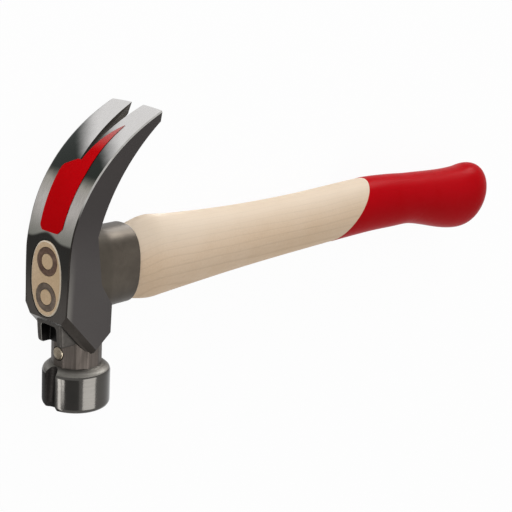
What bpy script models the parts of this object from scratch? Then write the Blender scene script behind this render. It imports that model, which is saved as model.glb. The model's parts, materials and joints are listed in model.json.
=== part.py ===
"""Curved claw hammer lying on its far cheek: metres, +X to the butt, +Y to the claw, +Z up."""

import math

import bmesh
import bpy
from mathutils import Matrix, Vector

# Fits
GAP = 0.0003

# Head, measured from the crossing of the poll axis and the handle axis
HEAD_LENGTH = 0.1347
FACE_DROP = 0.0623
CLAW_RISE = HEAD_LENGTH - FACE_DROP
EYE_FRONT = 0.0203
CLAW_REACH = 0.0287
CHEEK_WIDTH = 0.0266
CLAW_WIDTH = 0.0326

# Claw
CLAW_START = 0.0097
CLAW_PULL = 0.0308
TIP_PULL = 0.0290
TIP_ANGLE = 23.6
TIP_THICK = 0.0052
CLAW_CROWN = 0.0005
CLAW_EDGE = 0.0006
FLARE_START = 0.0080
SLOT_LENGTH = 0.0383
SLOT_WIDTH = 0.0070
SLOT_ROOT = 0.0007

# Cheek plates
CHEEK_CORNER = 0.0134
CHEEK_POINT_X = 0.0016
CHEEK_POINT_Y = 0.0327
CHEEK_REAR_X = 0.0067
CHEEK_REAR_Y = 0.0262
CHEEK_BEVEL = 0.0032

# Poll, raked a little so that its face looks towards the handle
POLL_RAKE = 2.0
BELL_RADIUS = 0.0153
BELL_LENGTH = 0.0175
BELL_EDGE = 0.0006
FACE_RADIUS = 0.0142
FACE_EDGE = 0.0019
SHOULDER_RISE = 0.0026
NECK_FLATS = 0.0220
NECK_SIDES = 12
BELL_STEPS = 56

# Nail starter: bell groove, magnet and fork
GROOVE_RADIUS = 0.0028
GROOVE_DEPTH = 0.0018
MAGNET_RADIUS = 0.0030
MAGNET_LENGTH = 0.0030
MAGNET_DROP = 0.0361
MAGNET_PROUD = 0.0003
FORK_FRONT = 0.0180
FORK_DROP = 0.0306
FORK_WIDTH = 0.0164
POCKET_WIDTH = 0.0098
POCKET_TOP = 0.0212
POCKET_BACK = 0.0127

# Eye and collar
EYE_HEIGHT = 0.0346
EYE_WIDTH = 0.0194
EYE_WAIST_HEIGHT = 0.0296
EYE_WAIST_WIDTH = 0.0178
EYE_REAR_HEIGHT = 0.0304
EYE_REAR_WIDTH = 0.0198
COLLAR_END = 0.0238
COLLAR_HEIGHT = 0.0372
COLLAR_WIDTH = 0.0258
COLLAR_LIFT = 0.0003
COLLAR_EDGE = 0.0007

# Ring wedges
RING_RADIUS = 0.00635
RING_WALL = 0.0021
RING_DEPTH = 0.0120
RING_TIP = 0.0007
RING_HIGH = 0.0079
RING_LOW = 0.0082

# Handle: depth, width and axis drop where its shape changes
BUTT_REACH = 0.3242
SHOULDER_DEPTH = 0.0394
SHOULDER_WIDTH = 0.0278
SHOULDER_RUN = 0.0155
SHOULDER_START_DEPTH = 0.0352
SHOULDER_START_WIDTH = 0.0214
BLADE_DEPTH = 0.0363
BLADE_WIDTH = 0.0274
NARROW_DEPTH = 0.0321
NARROW_WIDTH = 0.0252
THROAT_DEPTH = 0.0304
THROAT_WIDTH = 0.0232
GRIP_DEPTH = 0.0306
GRIP_WIDTH = 0.0232
WAIST_DEPTH = 0.0290
WAIST_WIDTH = 0.0244
BUTT_DEPTH = 0.0367
BUTT_WIDTH = 0.0276
BUTT_SET = 0.0074
BUTT_RAISE = 0.0034
BUTT_LEAN = 0.10
BUTT_ROUND = 0.0209
BUTT_POWER = 2.3
OVAL_STEPS = 40

# Dipped coat on the grip
COAT_THICK = 0.0007
DIP_START = 0.1910
DIP_SLANT = 0.90

# Claw label
LABEL_THICK = 0.0003
LABEL_WIDTH = 0.0138
LABEL_LOW = 0.0210
LABEL_TOP = 0.0478
LABEL_TAIL = 0.0655


def clear_scene():
    for obj in list(bpy.data.objects):
        bpy.data.objects.remove(obj, do_unlink=True)


clear_scene()
parts = bpy.data.collections.new("claw_hammer")
cutters = bpy.data.collections.new("claw_hammer_tools")
cutters.hide_render = True
bpy.context.scene.collection.children.link(parts)
bpy.context.scene.collection.children.link(cutters)

# The frame origin is under the middle of the whole outline, so the head sits off centre
root = bpy.data.objects.new("hammer_frame", None)
root.location = (
    (EYE_FRONT - BUTT_REACH) / 2,
    (FACE_DROP - CLAW_RISE) / 2,
    CLAW_WIDTH / 2,
)
parts.objects.link(root)


def material(name, colour, metallic, roughness):
    made = bpy.data.materials.new(name)
    made.use_nodes = True
    shader = made.node_tree.nodes["Principled BSDF"]
    shader.inputs["Base Color"].default_value = (*colour, 1.0)
    shader.inputs["Metallic"].default_value = metallic
    shader.inputs["Roughness"].default_value = roughness
    return made


def place(mesh, name, paint=None):
    obj = bpy.data.objects.new(name, mesh)
    obj.parent = root
    if paint is None:
        cutters.objects.link(obj)
        obj.hide_render = True
        obj.display_type = "WIRE"
    else:
        parts.objects.link(obj)
        mesh.materials.append(paint)
    return obj


def boolean(obj, other, operation):
    modifier = obj.modifiers.new(operation.lower() + "_" + other.name, "BOOLEAN")
    modifier.operation = operation
    modifier.solver = "EXACT"
    modifier.object = other


def loft(name, rings, paint=None):
    """Closed body through rings of equal count, each end closed by a ladder of faces."""
    count = len(rings[0])
    points = [point for ring in rings for point in ring]
    faces = []
    for level in range(len(rings) - 1):
        low = level * count
        for i in range(count):
            j = (i + 1) % count
            faces.append((low + i, low + j, low + count + j, low + count + i))
    top = (len(rings) - 1) * count
    for i in range(count // 2 - 1):
        j = count - 1 - i
        faces.append((j, j - 1, i + 1, i))
        faces.append((top + i, top + i + 1, top + j - 1, top + j))
    mesh = bpy.data.meshes.new(name)
    mesh.from_pydata(points, [], faces)
    return place(mesh, name, paint)


def oval(x, centre, height, width, steps=OVAL_STEPS):
    """Ring round the X direction, its ends on the Y axis."""
    ring = []
    for i in range(steps):
        angle = (i + 0.5) * 2 * math.pi / steps
        ring.append(Vector((x, centre + height / 2 * math.cos(angle), width / 2 * math.sin(angle))))
    return ring


def turned(name, profile, matrix, steps, loop=False, paint=None):
    """Body of revolution: a profile at +X run from top to bottom, turned round local Z by Screw."""
    count = len(profile)
    edges = [(i, i + 1) for i in range(count - 1)]
    if loop:
        edges.append((count - 1, 0))
    mesh = bpy.data.meshes.new(name)
    mesh.from_pydata([(radius, 0, height) for radius, height in profile], edges, [])
    obj = place(mesh, name, paint)
    obj.matrix_local = matrix
    screw = obj.modifiers.new("turn", "SCREW")
    screw.axis = "Z"
    screw.steps = steps
    screw.render_steps = steps
    screw.use_merge_vertices = True
    screw.merge_threshold = 0.00001
    return obj


def prism(name, outline, half, matrix):
    """Flat outline of (point, handle before, handle after) knots, extruded both ways along local Z."""
    curve = bpy.data.curves.new(name, "CURVE")
    curve.dimensions = "2D"
    curve.fill_mode = "BOTH"
    curve.extrude = half
    curve.resolution_u = 10
    spline = curve.splines.new("BEZIER")
    spline.bezier_points.add(len(outline) - 1)
    spline.use_cyclic_u = True
    for knot, (point, before, after) in zip(spline.bezier_points, outline):
        knot.co = (*point, 0)
        knot.handle_left_type = "VECTOR" if before is None else "FREE"
        knot.handle_right_type = "VECTOR" if after is None else "FREE"
        if before is not None:
            knot.handle_left = (*before, 0)
        if after is not None:
            knot.handle_right = (*after, 0)
    drawn = bpy.data.objects.new(name + "_outline", curve)
    cutters.objects.link(drawn)
    bpy.context.view_layer.update()
    graph = bpy.context.evaluated_depsgraph_get()
    mesh = bpy.data.meshes.new_from_object(drawn.evaluated_get(graph))
    bpy.data.objects.remove(drawn)
    shell = bmesh.new()
    shell.from_mesh(mesh)
    bmesh.ops.remove_doubles(shell, verts=shell.verts, dist=0.000001)
    bmesh.ops.recalc_face_normals(shell, faces=shell.faces)
    shell.to_mesh(mesh)
    shell.free()
    obj = place(mesh, name)
    obj.matrix_local = matrix
    return obj


def block(name, low, high):
    centre = [(a + b) / 2 for a, b in zip(low, high)]
    size = [b - a for a, b in zip(low, high)]
    bpy.ops.mesh.primitive_cube_add(size=1)
    made = bpy.context.object
    mesh = made.data
    bpy.data.objects.remove(made)
    mesh.transform(Matrix.Translation(centre) @ Matrix.Diagonal((*size, 1)))
    return place(mesh, name)


def rod(name, radius, depth, matrix, sides, paint=None):
    bpy.ops.mesh.primitive_cylinder_add(vertices=sides, radius=radius, depth=depth)
    made = bpy.context.object
    mesh = made.data
    bpy.data.objects.remove(made)
    mesh.transform(matrix)
    return place(mesh, name, paint)


def bezier(start, pull, push, end, count):
    points = []
    for i in range(count):
        t = i / (count - 1)
        s = 1 - t
        points.append(s**3 * start + 3 * s * s * t * pull + 3 * s * t * t * push + t**3 * end)
    return points


def eased(t):
    t = min(max(t, 0.0), 1.0)
    return t * t * (3 - 2 * t)


POLL_DOWN = Matrix.Rotation(math.radians(90), 4, "X")
FACING_FRONT = Matrix.Rotation(math.radians(-90), 4, "Y")

# The poll leans about the lower edge of its face, so the face stays at its drop
rake = math.radians(POLL_RAKE)
RAKED = (
    Matrix.Translation((0, FACE_RADIUS * math.sin(rake) - FACE_DROP, 0))
    @ Matrix.Rotation(rake, 4, "Z")
    @ Matrix.Translation((0, FACE_DROP, 0))
)

# Claw outline: the outer curve leaves the flat eye face and flattens towards the tip
tip_angle = math.radians(TIP_ANGLE)
tip_way = Vector((math.cos(tip_angle), math.sin(tip_angle)))
tip_out = Vector((CLAW_REACH, CLAW_RISE))
tip_in = tip_out + Vector((-0.0012, -TIP_THICK))
CLAW_POINTS = 19
outer_curve = bezier(
    Vector((-EYE_FRONT, CLAW_START)),
    Vector((-EYE_FRONT, CLAW_START + CLAW_PULL)),
    tip_out - TIP_PULL * tip_way,
    tip_out,
    CLAW_POINTS,
)
root_in = Vector((-0.0042, 0.0186))
inner_curve = bezier(
    root_in,
    Vector((-0.0003, 0.0356)),
    tip_in - Vector((0.0184, 0.0143)),
    tip_in,
    CLAW_POINTS,
)


def half_width(y):
    """Half the head's width: flat cheeks, then a flare along the claw."""
    rise = max(0.0, (y - FLARE_START) / (CLAW_RISE - FLARE_START))
    rise = min(rise, 1.0)
    return CHEEK_WIDTH / 2 + (CLAW_WIDTH - CHEEK_WIDTH) / 2 * (1 - (1 - rise) ** 1.3)


# The head's side outline runs up the front chain and down the rear chain
front_chain = [
    Vector((-CHEEK_POINT_X - 0.0002, -CHEEK_POINT_Y)),
    Vector((-EYE_FRONT, -CHEEK_CORNER)),
    Vector((-EYE_FRONT, -CHEEK_CORNER * 0.5)),
    Vector((-EYE_FRONT, 0.0)),
] + outer_curve
rear_chain = [
    Vector((-CHEEK_POINT_X + 0.0002, -CHEEK_POINT_Y)),
    Vector((CHEEK_REAR_X, -CHEEK_REAR_Y)),
    Vector((CHEEK_REAR_X, -0.0131)),
    Vector((-0.0004, -0.0029)),
] + inner_curve
side_outline = front_chain + rear_chain[::-1]
side_count = len(side_outline)
chain_count = len(front_chain)


BEVEL_LEVEL = 1 - CHEEK_BEVEL * 2 / CHEEK_WIDTH
EDGE_LEVEL = 1 - CLAW_EDGE * 2 / CHEEK_WIDTH


def edge_shift(i, level):
    """Outward shift of outline edge i at a fraction of the half width: bevels, and the claw's crown."""
    if i in (0, side_count - 1, side_count - 2):
        return min(CHEEK_BEVEL, (1 - level) * CHEEK_WIDTH / 2)
    edge = CLAW_EDGE * max(0.0, (level - EDGE_LEVEL) / (1 - EDGE_LEVEL))
    if i < chain_count - 1:
        along = (i - 4) / (CLAW_POINTS - 2)
        crown = CLAW_CROWN * level * level * eased(along / 0.5)
        return -crown - edge
    if i < chain_count + CLAW_POINTS - 1:
        return -edge
    return 0.0


def head_section(level):
    """The side outline at a fraction of the half width, each corner mitred."""
    size = abs(level)
    ring = []
    for i, point in enumerate(side_outline):
        before = (point - side_outline[i - 1]).normalized()
        after = (side_outline[(i + 1) % side_count] - point).normalized()
        one = Vector((-before.y, before.x))
        two = Vector((-after.y, after.x))
        shift_one = edge_shift((i - 1) % side_count, size)
        shift_two = edge_shift(i, size)
        turn = one.x * two.y - one.y * two.x
        if abs(turn) > 0.2:
            across = shift_one * two.y - shift_two * one.y
            rise = shift_two * one.x - shift_one * two.x
            moved = Vector((across, rise)) / turn
        else:
            moved = (one + two).normalized() * (shift_one + shift_two) / 2
        flat = point + moved
        ring.append(Vector((flat.x, flat.y, level * half_width(point.y))))
    return ring


# Materials
dark_steel = material("dark_forged_steel", (0.075, 0.072, 0.070), 0.9, 0.42)
wedge_steel = material("wedge_steel", (0.20, 0.17, 0.18), 1.0, 0.40)
magnet_nickel = material("magnet_nickel", (0.62, 0.58, 0.52), 1.0, 0.28)
hickory = material("hickory", (0.80, 0.66, 0.48), 0.0, 0.55)
red_dip = material("red_dip_coat", (0.62, 0.010, 0.020), 0.0, 0.22)
red_label = material("red_label", (0.66, 0.012, 0.016), 0.0, 0.30)

# Head: one forging built up from the claw and cheeks, the fork, the neck, the bell and the collar
levels = [0.0, 0.25, 0.50, BEVEL_LEVEL, 0.88, EDGE_LEVEL, 1.0]
levels = [-level for level in levels[:0:-1]] + levels
head = loft("hammer_head", [head_section(level) for level in levels], dark_steel)

fork = block(
    "fork_block",
    (-FORK_FRONT, -FORK_DROP, -FORK_WIDTH / 2),
    (-0.0060, -0.0150, FORK_WIDTH / 2),
)
fork_edge = fork.modifiers.new("fork_edge", "BEVEL")
fork_edge.width = 0.0010
fork_edge.segments = 2
boolean(head, fork, "UNION")

neck_top = 0.0200
neck_low = FACE_DROP - BELL_LENGTH - SHOULDER_RISE / 2
neck = rod(
    "neck",
    NECK_FLATS / 2 / math.cos(math.pi / NECK_SIDES),
    neck_low - neck_top,
    RAKED
    @ Matrix.Translation((0, -(neck_low + neck_top) / 2, 0))
    @ POLL_DOWN
    @ Matrix.Rotation(math.pi / NECK_SIDES, 4, "Z"),
    NECK_SIDES,
)
boolean(head, neck, "UNION")

bell_top = FACE_DROP - BELL_LENGTH
bell = turned(
    "bell",
    [
        (0, FACE_DROP),
        (FACE_RADIUS, FACE_DROP),
        (FACE_RADIUS + (BELL_RADIUS - FACE_RADIUS) * 0.6, FACE_DROP - FACE_EDGE * 0.35),
        (BELL_RADIUS, FACE_DROP - FACE_EDGE),
        (BELL_RADIUS, bell_top + BELL_EDGE * 1.5),
        (BELL_RADIUS - BELL_EDGE, bell_top),
        (NECK_FLATS / 2 + 0.0024, bell_top - SHOULDER_RISE * 0.45),
        (NECK_FLATS / 2 + 0.0011, bell_top - SHOULDER_RISE * 0.82),
        (NECK_FLATS / 2 - 0.0006, bell_top - SHOULDER_RISE),
        (0, bell_top - SHOULDER_RISE),
    ],
    RAKED @ POLL_DOWN,
    BELL_STEPS,
)
boolean(head, bell, "UNION")

collar = loft(
    "collar",
    [
        oval(-0.0110, COLLAR_LIFT, COLLAR_HEIGHT + 0.0008, COLLAR_WIDTH - 0.0012),
        oval(0.0040, COLLAR_LIFT, COLLAR_HEIGHT + 0.0008, COLLAR_WIDTH),
        oval(COLLAR_END - COLLAR_EDGE, COLLAR_LIFT, COLLAR_HEIGHT, COLLAR_WIDTH),
        oval(COLLAR_END, COLLAR_LIFT, COLLAR_HEIGHT - 2 * COLLAR_EDGE, COLLAR_WIDTH - 2 * COLLAR_EDGE),
    ],
)
boolean(head, collar, "UNION")


def eye_size(x):
    """Height and width of the eye at x: widest at the front, where the wedges spread the wood."""
    waist = 0.0020
    if x < waist:
        t = (x + EYE_FRONT) / (waist + EYE_FRONT)
        ends = ((EYE_HEIGHT, EYE_WIDTH), (EYE_WAIST_HEIGHT, EYE_WAIST_WIDTH))
    else:
        t = (x - waist) / (COLLAR_END - waist)
        ends = ((EYE_WAIST_HEIGHT, EYE_WAIST_WIDTH), (EYE_REAR_HEIGHT, EYE_REAR_WIDTH))
    return [a + (b - a) * t for a, b in zip(*ends)]


EYE_STATIONS = (-EYE_FRONT, 0.0020, COLLAR_END)
eye = loft(
    "eye_hole",
    [oval(-EYE_FRONT - 0.004, 0, *eye_size(-EYE_FRONT))]
    + [oval(x, 0, *eye_size(x)) for x in EYE_STATIONS]
    + [oval(COLLAR_END + 0.004, 0, *eye_size(COLLAR_END))],
)
boolean(head, eye, "DIFFERENCE")

# Claw slot: a wedge along the chord from its root to the tip
slot_start = tip_out - SLOT_LENGTH * Vector((0.83, 0.558))
slot_turn = math.atan2(0.558, 0.83)
slot_spread = (SLOT_WIDTH - SLOT_ROOT) / 2 / SLOT_LENGTH
slot_far = SLOT_LENGTH + 0.010
slot_matrix = (
    Matrix.Translation((slot_start.x, slot_start.y, 0))
    @ Matrix.Rotation(slot_turn, 4, "Z")
    @ Matrix.Rotation(math.radians(90), 4, "X")
)
slot = prism(
    "claw_slot",
    [
        ((0, SLOT_ROOT / 2), (-SLOT_ROOT * 0.7, SLOT_ROOT / 2), None),
        ((slot_far, SLOT_ROOT / 2 + slot_spread * slot_far), None, None),
        ((slot_far, -SLOT_ROOT / 2 - slot_spread * slot_far), None, None),
        ((0, -SLOT_ROOT / 2), None, (-SLOT_ROOT * 0.7, -SLOT_ROOT / 2)),
    ],
    0.030,
    slot_matrix,
)
boolean(head, slot, "DIFFERENCE")

pocket = block(
    "nail_pocket",
    (-FORK_FRONT - 0.004, -FORK_DROP - 0.004, -POCKET_WIDTH / 2),
    (-POCKET_BACK, -POCKET_TOP, POCKET_WIDTH / 2),
)
boolean(head, pocket, "DIFFERENCE")

groove_x = -(BELL_RADIUS + GROOVE_RADIUS - GROOVE_DEPTH)
groove = rod(
    "nail_groove",
    GROOVE_RADIUS,
    BELL_LENGTH + 0.010,
    RAKED @ Matrix.Translation((groove_x, -FACE_DROP + BELL_LENGTH / 2 - 0.001, 0)) @ POLL_DOWN,
    20,
)
boolean(head, groove, "DIFFERENCE")

magnet_face = -NECK_FLATS / 2 - MAGNET_PROUD
magnet_back = magnet_face + MAGNET_LENGTH
seat_back = magnet_back + GAP
seat = rod(
    "magnet_seat",
    MAGNET_RADIUS + GAP,
    seat_back + 0.020,
    RAKED @ Matrix.Translation(((seat_back - 0.020) / 2, -MAGNET_DROP, 0)) @ FACING_FRONT,
    32,
)
boolean(head, seat, "DIFFERENCE")

# Magnet that holds the nail
magnet = rod(
    "nail_magnet",
    MAGNET_RADIUS,
    MAGNET_LENGTH,
    RAKED @ Matrix.Translation(((magnet_face + magnet_back) / 2, -MAGNET_DROP, 0)) @ FACING_FRONT,
    32,
    magnet_nickel,
)

# Handle stations: x, depth, width, height of the middle above the axis
neck_end = COLLAR_END + GAP
run = BUTT_REACH - COLLAR_END
near_waist_depth = (GRIP_DEPTH + 2 * WAIST_DEPTH) / 3 + 0.0003
stations = [
    (neck_end + SHOULDER_RUN, SHOULDER_DEPTH, SHOULDER_WIDTH, 0.0001),
    (COLLAR_END + run * 0.12, BLADE_DEPTH, BLADE_WIDTH, -0.0003),
    (COLLAR_END + run * 0.26, NARROW_DEPTH, NARROW_WIDTH, -0.0005),
    (COLLAR_END + run * 0.41, THROAT_DEPTH, THROAT_WIDTH, -0.0003),
    (COLLAR_END + run * 0.61, GRIP_DEPTH, GRIP_WIDTH, 0.0006),
    (COLLAR_END + run * 0.69, near_waist_depth, (GRIP_WIDTH + WAIST_WIDTH) / 2, -0.0003),
    (COLLAR_END + run * 0.755, WAIST_DEPTH, WAIST_WIDTH, -BUTT_SET * 0.21),
    (COLLAR_END + run * 0.912, BUTT_DEPTH, BUTT_WIDTH, -BUTT_SET),
    (BUTT_REACH, BUTT_DEPTH + 0.0012, BUTT_WIDTH, -BUTT_SET + BUTT_RAISE),
]


def handle_size(x):
    """Depth, width and middle of the handle at x, smooth through the stations."""
    k = 0
    while k < len(stations) - 2 and x > stations[k + 1][0]:
        k += 1
    here = stations[k]
    there = stations[k + 1]
    prior = stations[max(k - 1, 0)]
    later = stations[min(k + 2, len(stations) - 1)]
    span = there[0] - here[0]
    t = (x - here[0]) / span
    found = []
    for n in (1, 2, 3):
        slope_in = (there[n] - prior[n]) / (there[0] - prior[0]) * span
        slope_out = (later[n] - here[n]) / (later[0] - here[0]) * span
        a = (2 * t**3 - 3 * t * t + 1) * here[n] + (t**3 - 2 * t * t + t) * slope_in
        b = (3 * t * t - 2 * t**3) * there[n] + (t**3 - t * t) * slope_out
        found.append(a + b)
    return found


def grip_ring(x, inset, round_to=1.0, lean=0.0):
    """Ring of the handle's skin at x, moved in by an inset, drawn in and leaned at the butt's round."""
    depth, width, middle = handle_size(x)
    ring = oval(x, middle, depth * round_to - 2 * inset * round_to, width * round_to - 2 * inset * round_to)
    return [Vector((point[0] + lean * (point[1] - middle), point[1], point[2])) for point in ring]


def grip_rings(start, inset):
    """Rings from a start to the rounded butt, the whole skin moved in by an inset."""
    round_start = BUTT_REACH - BUTT_ROUND
    count = max(2, round((round_start - start) / 0.014))
    rings = []
    for i in range(count):
        rings.append(grip_ring(start + (round_start - start) * i / count, inset))
    for i in range(9):
        q = math.sin(i / 8 * math.pi / 2 * 0.985)
        fade = (1 - q**BUTT_POWER) ** (1 / BUTT_POWER)
        rings.append(grip_ring(round_start + (BUTT_ROUND - inset) * q, inset, fade, BUTT_LEAN * q * q))
    return rings


tenon = []
for x in EYE_STATIONS:
    height, width = eye_size(x)
    tenon.append(oval(x, 0, height - 2 * GAP, width - 2 * GAP))
tenon.append(oval(neck_end, 0, EYE_REAR_HEIGHT - 2 * GAP, EYE_REAR_WIDTH - 2 * GAP))
shoulder = [
    oval(neck_end, 0, SHOULDER_START_DEPTH, SHOULDER_START_WIDTH),
    oval(neck_end + SHOULDER_RUN * 0.92, 0.0001, SHOULDER_DEPTH - 0.0004, SHOULDER_WIDTH - 0.0006),
]
full_rings = grip_rings(neck_end + SHOULDER_RUN, 0.0)
handle = loft("handle", tenon + shoulder + full_rings, hickory)

# Space for the coat: everything past the slanting dip line except the core
dip_side = 0.030
dip_far = BUTT_REACH + 0.010


def dip_outline(shift):
    corners = [
        (DIP_START + DIP_SLANT * dip_side + shift, dip_side),
        (DIP_START - DIP_SLANT * dip_side + shift, -dip_side),
        (dip_far, -dip_side),
        (dip_far, dip_side),
    ]
    return [(corner, None, None) for corner in corners]


core_start = DIP_START - 0.045
core = loft("grip_core", grip_rings(core_start, COAT_THICK + GAP))
coat_space = prism("coat_space", dip_outline(0.0), 0.030, Matrix.Identity(4))
boolean(coat_space, core, "DIFFERENCE")
boolean(handle, coat_space, "DIFFERENCE")

coat = loft("grip_coat", grip_rings(core_start, 0.0), red_dip)
coat_keep = prism("coat_keep", dip_outline(GAP), 0.030, Matrix.Identity(4))
coat_void = loft("coat_void", grip_rings(core_start - 0.004, COAT_THICK))
boolean(coat, coat_keep, "INTERSECT")
boolean(coat, coat_void, "DIFFERENCE")

# Ring wedges driven into the end of the handle
for name, height in (("ring_wedge_upper", RING_HIGH), ("ring_wedge_lower", -RING_LOW)):
    inside = RING_RADIUS - RING_WALL
    edge = inside + RING_WALL / 2
    ring_matrix = Matrix.Translation((-EYE_FRONT, height, 0)) @ FACING_FRONT
    wedge_profile = [
        (RING_RADIUS, 0),
        (edge + RING_TIP / 2, -RING_DEPTH),
        (edge - RING_TIP / 2, -RING_DEPTH),
        (inside, 0),
    ]
    groove_profile = [
        (RING_RADIUS + GAP, 0.003),
        (RING_RADIUS + GAP, 0),
        (edge + RING_TIP / 2 + GAP, -RING_DEPTH - GAP),
        (edge - RING_TIP / 2 - GAP, -RING_DEPTH - GAP),
        (inside - GAP, 0),
        (inside - GAP, 0.003),
    ]
    turned(name, wedge_profile, ring_matrix, 40, True, wedge_steel)
    ring_groove = turned(name + "_groove", groove_profile, ring_matrix, 40, True)
    boolean(handle, ring_groove, "DIFFERENCE")


# Label on the claw's outer face: a thin skin following the crown, trimmed to its outline
def skin_ring(level):
    low = []
    high = []
    for i in range(1, CLAW_POINTS - 1):
        way = (outer_curve[i + 1] - outer_curve[i - 1]).normalized()
        out = Vector((-way.y, way.x))
        along = (i - 0.5) / (CLAW_POINTS - 2)
        lift = GAP - CLAW_CROWN * level * level * eased(along / 0.5)
        z = level * half_width(outer_curve[i].y)
        base = outer_curve[i] + out * lift
        cover = base + out * LABEL_THICK
        low.append(Vector((base.x, base.y, z)))
        high.append(Vector((cover.x, cover.y, z)))
    return high + low[::-1]


label = loft("claw_label", [skin_ring(level / 10) for level in range(-6, 7, 2)], red_label)
side = LABEL_WIDTH / 2
label_shape = [
    (LABEL_LOW, -side * 0.62),
    (LABEL_LOW, side * 0.62),
    (LABEL_LOW + 0.0032, side),
    (LABEL_LOW + 0.0140, side * 1.11),
    (LABEL_TOP, side * 1.15),
    (LABEL_TAIL - 0.0080, side * 1.10),
    (LABEL_TAIL, side * 1.12),
    (LABEL_TAIL - 0.0035, side * 0.62),
    (LABEL_TAIL - 0.0105, side * 0.29),
    (LABEL_TOP + 0.0032, side * 0.10),
    (LABEL_TOP + 0.0032, -side * 0.20),
    (LABEL_TOP, -side * 1.12),
    (LABEL_TOP - 0.0026, -side * 1.20),
    (LABEL_LOW + 0.0140, -side * 1.10),
    (LABEL_LOW + 0.0032, -side),
]
label_keep = prism(
    "label_keep",
    [((-z, y), None, None) for y, z in label_shape],
    0.060,
    Matrix.Rotation(math.radians(90), 4, "Y"),
)
boolean(label, label_keep, "INTERSECT")
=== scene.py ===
import json
import math

import bmesh
import bpy
from mathutils import Matrix, Vector


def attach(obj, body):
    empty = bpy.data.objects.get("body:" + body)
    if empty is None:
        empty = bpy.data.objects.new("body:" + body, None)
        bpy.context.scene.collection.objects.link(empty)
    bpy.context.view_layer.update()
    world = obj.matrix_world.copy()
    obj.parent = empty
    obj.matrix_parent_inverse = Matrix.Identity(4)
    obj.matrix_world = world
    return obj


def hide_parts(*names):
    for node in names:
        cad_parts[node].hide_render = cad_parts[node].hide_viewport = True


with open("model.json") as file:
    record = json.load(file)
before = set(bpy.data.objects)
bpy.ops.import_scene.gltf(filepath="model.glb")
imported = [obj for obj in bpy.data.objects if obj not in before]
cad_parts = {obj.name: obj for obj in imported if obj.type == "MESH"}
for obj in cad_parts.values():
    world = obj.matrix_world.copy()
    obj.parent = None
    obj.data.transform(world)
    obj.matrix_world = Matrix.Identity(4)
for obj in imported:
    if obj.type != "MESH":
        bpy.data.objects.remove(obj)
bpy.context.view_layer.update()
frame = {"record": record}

scene = bpy.context.scene
scene.view_settings.view_transform = "Standard"

# Lengths are millimetres from the crossing of the poll axis and the handle axis
MM = 0.001

# Head
EYE_FRONT = 20.3
FACE_DROP = 62.3
CLAW_RISE = 72.4
CLAW_REACH = 28.7
CHEEK_WIDTH = 26.6
CLAW_WIDTH = 32.6
FLARE_START = 8.0
EYE_BULGE = 0.6
BULGE_HEIGHT = 6.0
BULGE_REACH = 20.0

# Claw
CLAW_START = 9.7
CLAW_PULL = 30.8
TIP_PULL = 29.2
TIP_ANGLE = 22.8
TIP_THICK = 5.2
TIP_LEAN = 1.2
TIP_MORE = 0.7
CLAW_CROWN = 0.5
CLAW_EDGE = 0.6
NEAR_EDGE = 0.38
NEAR_TRIM = 0.4
FAR_EDGE = 0.35
REAR_EDGE = 0.25
CLAW_POINTS = 57
THROAT_TOP = (-4.2, 18.6)
THROAT_PULL = (-0.3, 35.6)
INNER_PULL = (18.4, 14.6)
FLARE_POWER = 1.3
SLOT_LENGTH = 38.3
SLOT_WAY = (0.83, 0.558)
SLOT_LOW = 30.0
SLOT_WIDTH = 7.0
SLOT_ROOT = 0.7
SLOT_EDGE = 0.28
SLOT_BEVEL = 1.0
SLOT_DEPTH = 3.2

# Cheek plates
CHEEK_CORNER = 13.4
CHEEK_POINT = (-1.6, -32.7)
CHEEK_REAR = (6.7, -26.2)
CHEEK_WAIST = (6.7, -13.1)
CHEEK_THROAT = (-0.4, -2.9)
CHEEK_BEVEL = 3.2
CHEEK_COLUMNS = 8
CHEEK_TIP = 0.2
WELD = 0.02

# Poll and nail starter
POLL_RAKE = 2.0
BELL_RADIUS = 15.3
BELL_LENGTH = 17.5
BELL_EDGE = 0.6
FACE_RADIUS = 14.2
SHOULDER_RISE = 2.6
NECK_FLATS = 22.0
NECK_SIDES = 12
NECK_TOP = 20.0
NECK_MIDDLE = 30.0
# Turn and reach of the points that break each corner of the neck
NECK_CORNER = ((-0.05, 0.988), (0.0, 0.991), (0.05, 0.988))
SHOULDER_POWER = 1.4
BELL_STEPS = 128
GROOVE_RADIUS = 3.5
GROOVE_DEPTH = 2.1
GROOVE_SINK = 1.7
GROOVE_SHIFT = -0.8
GROOVE_FLARE = 3.0
GROOVE_MOUTH = 5.6
LIP_EDGE = 0.22
MAGNET_RADIUS = 3.0
MAGNET_LENGTH = 3.0
MAGNET_DROP = 36.1
MAGNET_PROUD = 0.3
FORK_FRONT = 18.0
FORK_BACK = 6.0
FORK_DROP = 30.6
FORK_WIDTH = 16.4
FORK_LEAN = 0.1
FORK_LEVEL = 26.0
# Drop and inset of each ring
FORK_RINGS = (
    (14.0, 0.0),
    (27.0, 0.1),
    (FORK_DROP - 1.1, 0.2),
    (FORK_DROP - 0.5, 0.4),
    (FORK_DROP - 0.1, 0.9),
)
FORK_END = 0.84
POCKET_WIDTH = 9.8
POCKET_TOP = 21.2
POCKET_BACK = 12.7
# Place along the handle, and size
POCKET_RINGS = (
    (-FORK_FRONT - 4, 1.0),
    (-POCKET_BACK - 0.8, 1.0),
    (-POCKET_BACK - 0.2, 0.96),
    (-POCKET_BACK, 0.88),
)

# Eye and collar
EYE_LEAN = -0.01
EYE_SHIFT = -0.7
EYE_POWER = 2.3
# Place along the handle, height and width
EYE_SIZES = ((-EYE_FRONT, 34.6, 19.7), (2.0, 29.6, 17.8), (23.8, 30.4, 19.8))
COLLAR_END = 24.1
COLLAR_HEIGHT = 36.8
COLLAR_WIDTH = 25.8
COLLAR_LIFT = 0.5
COLLAR_POWER = 2.5
COLLAR_EDGE = 0.7
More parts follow.
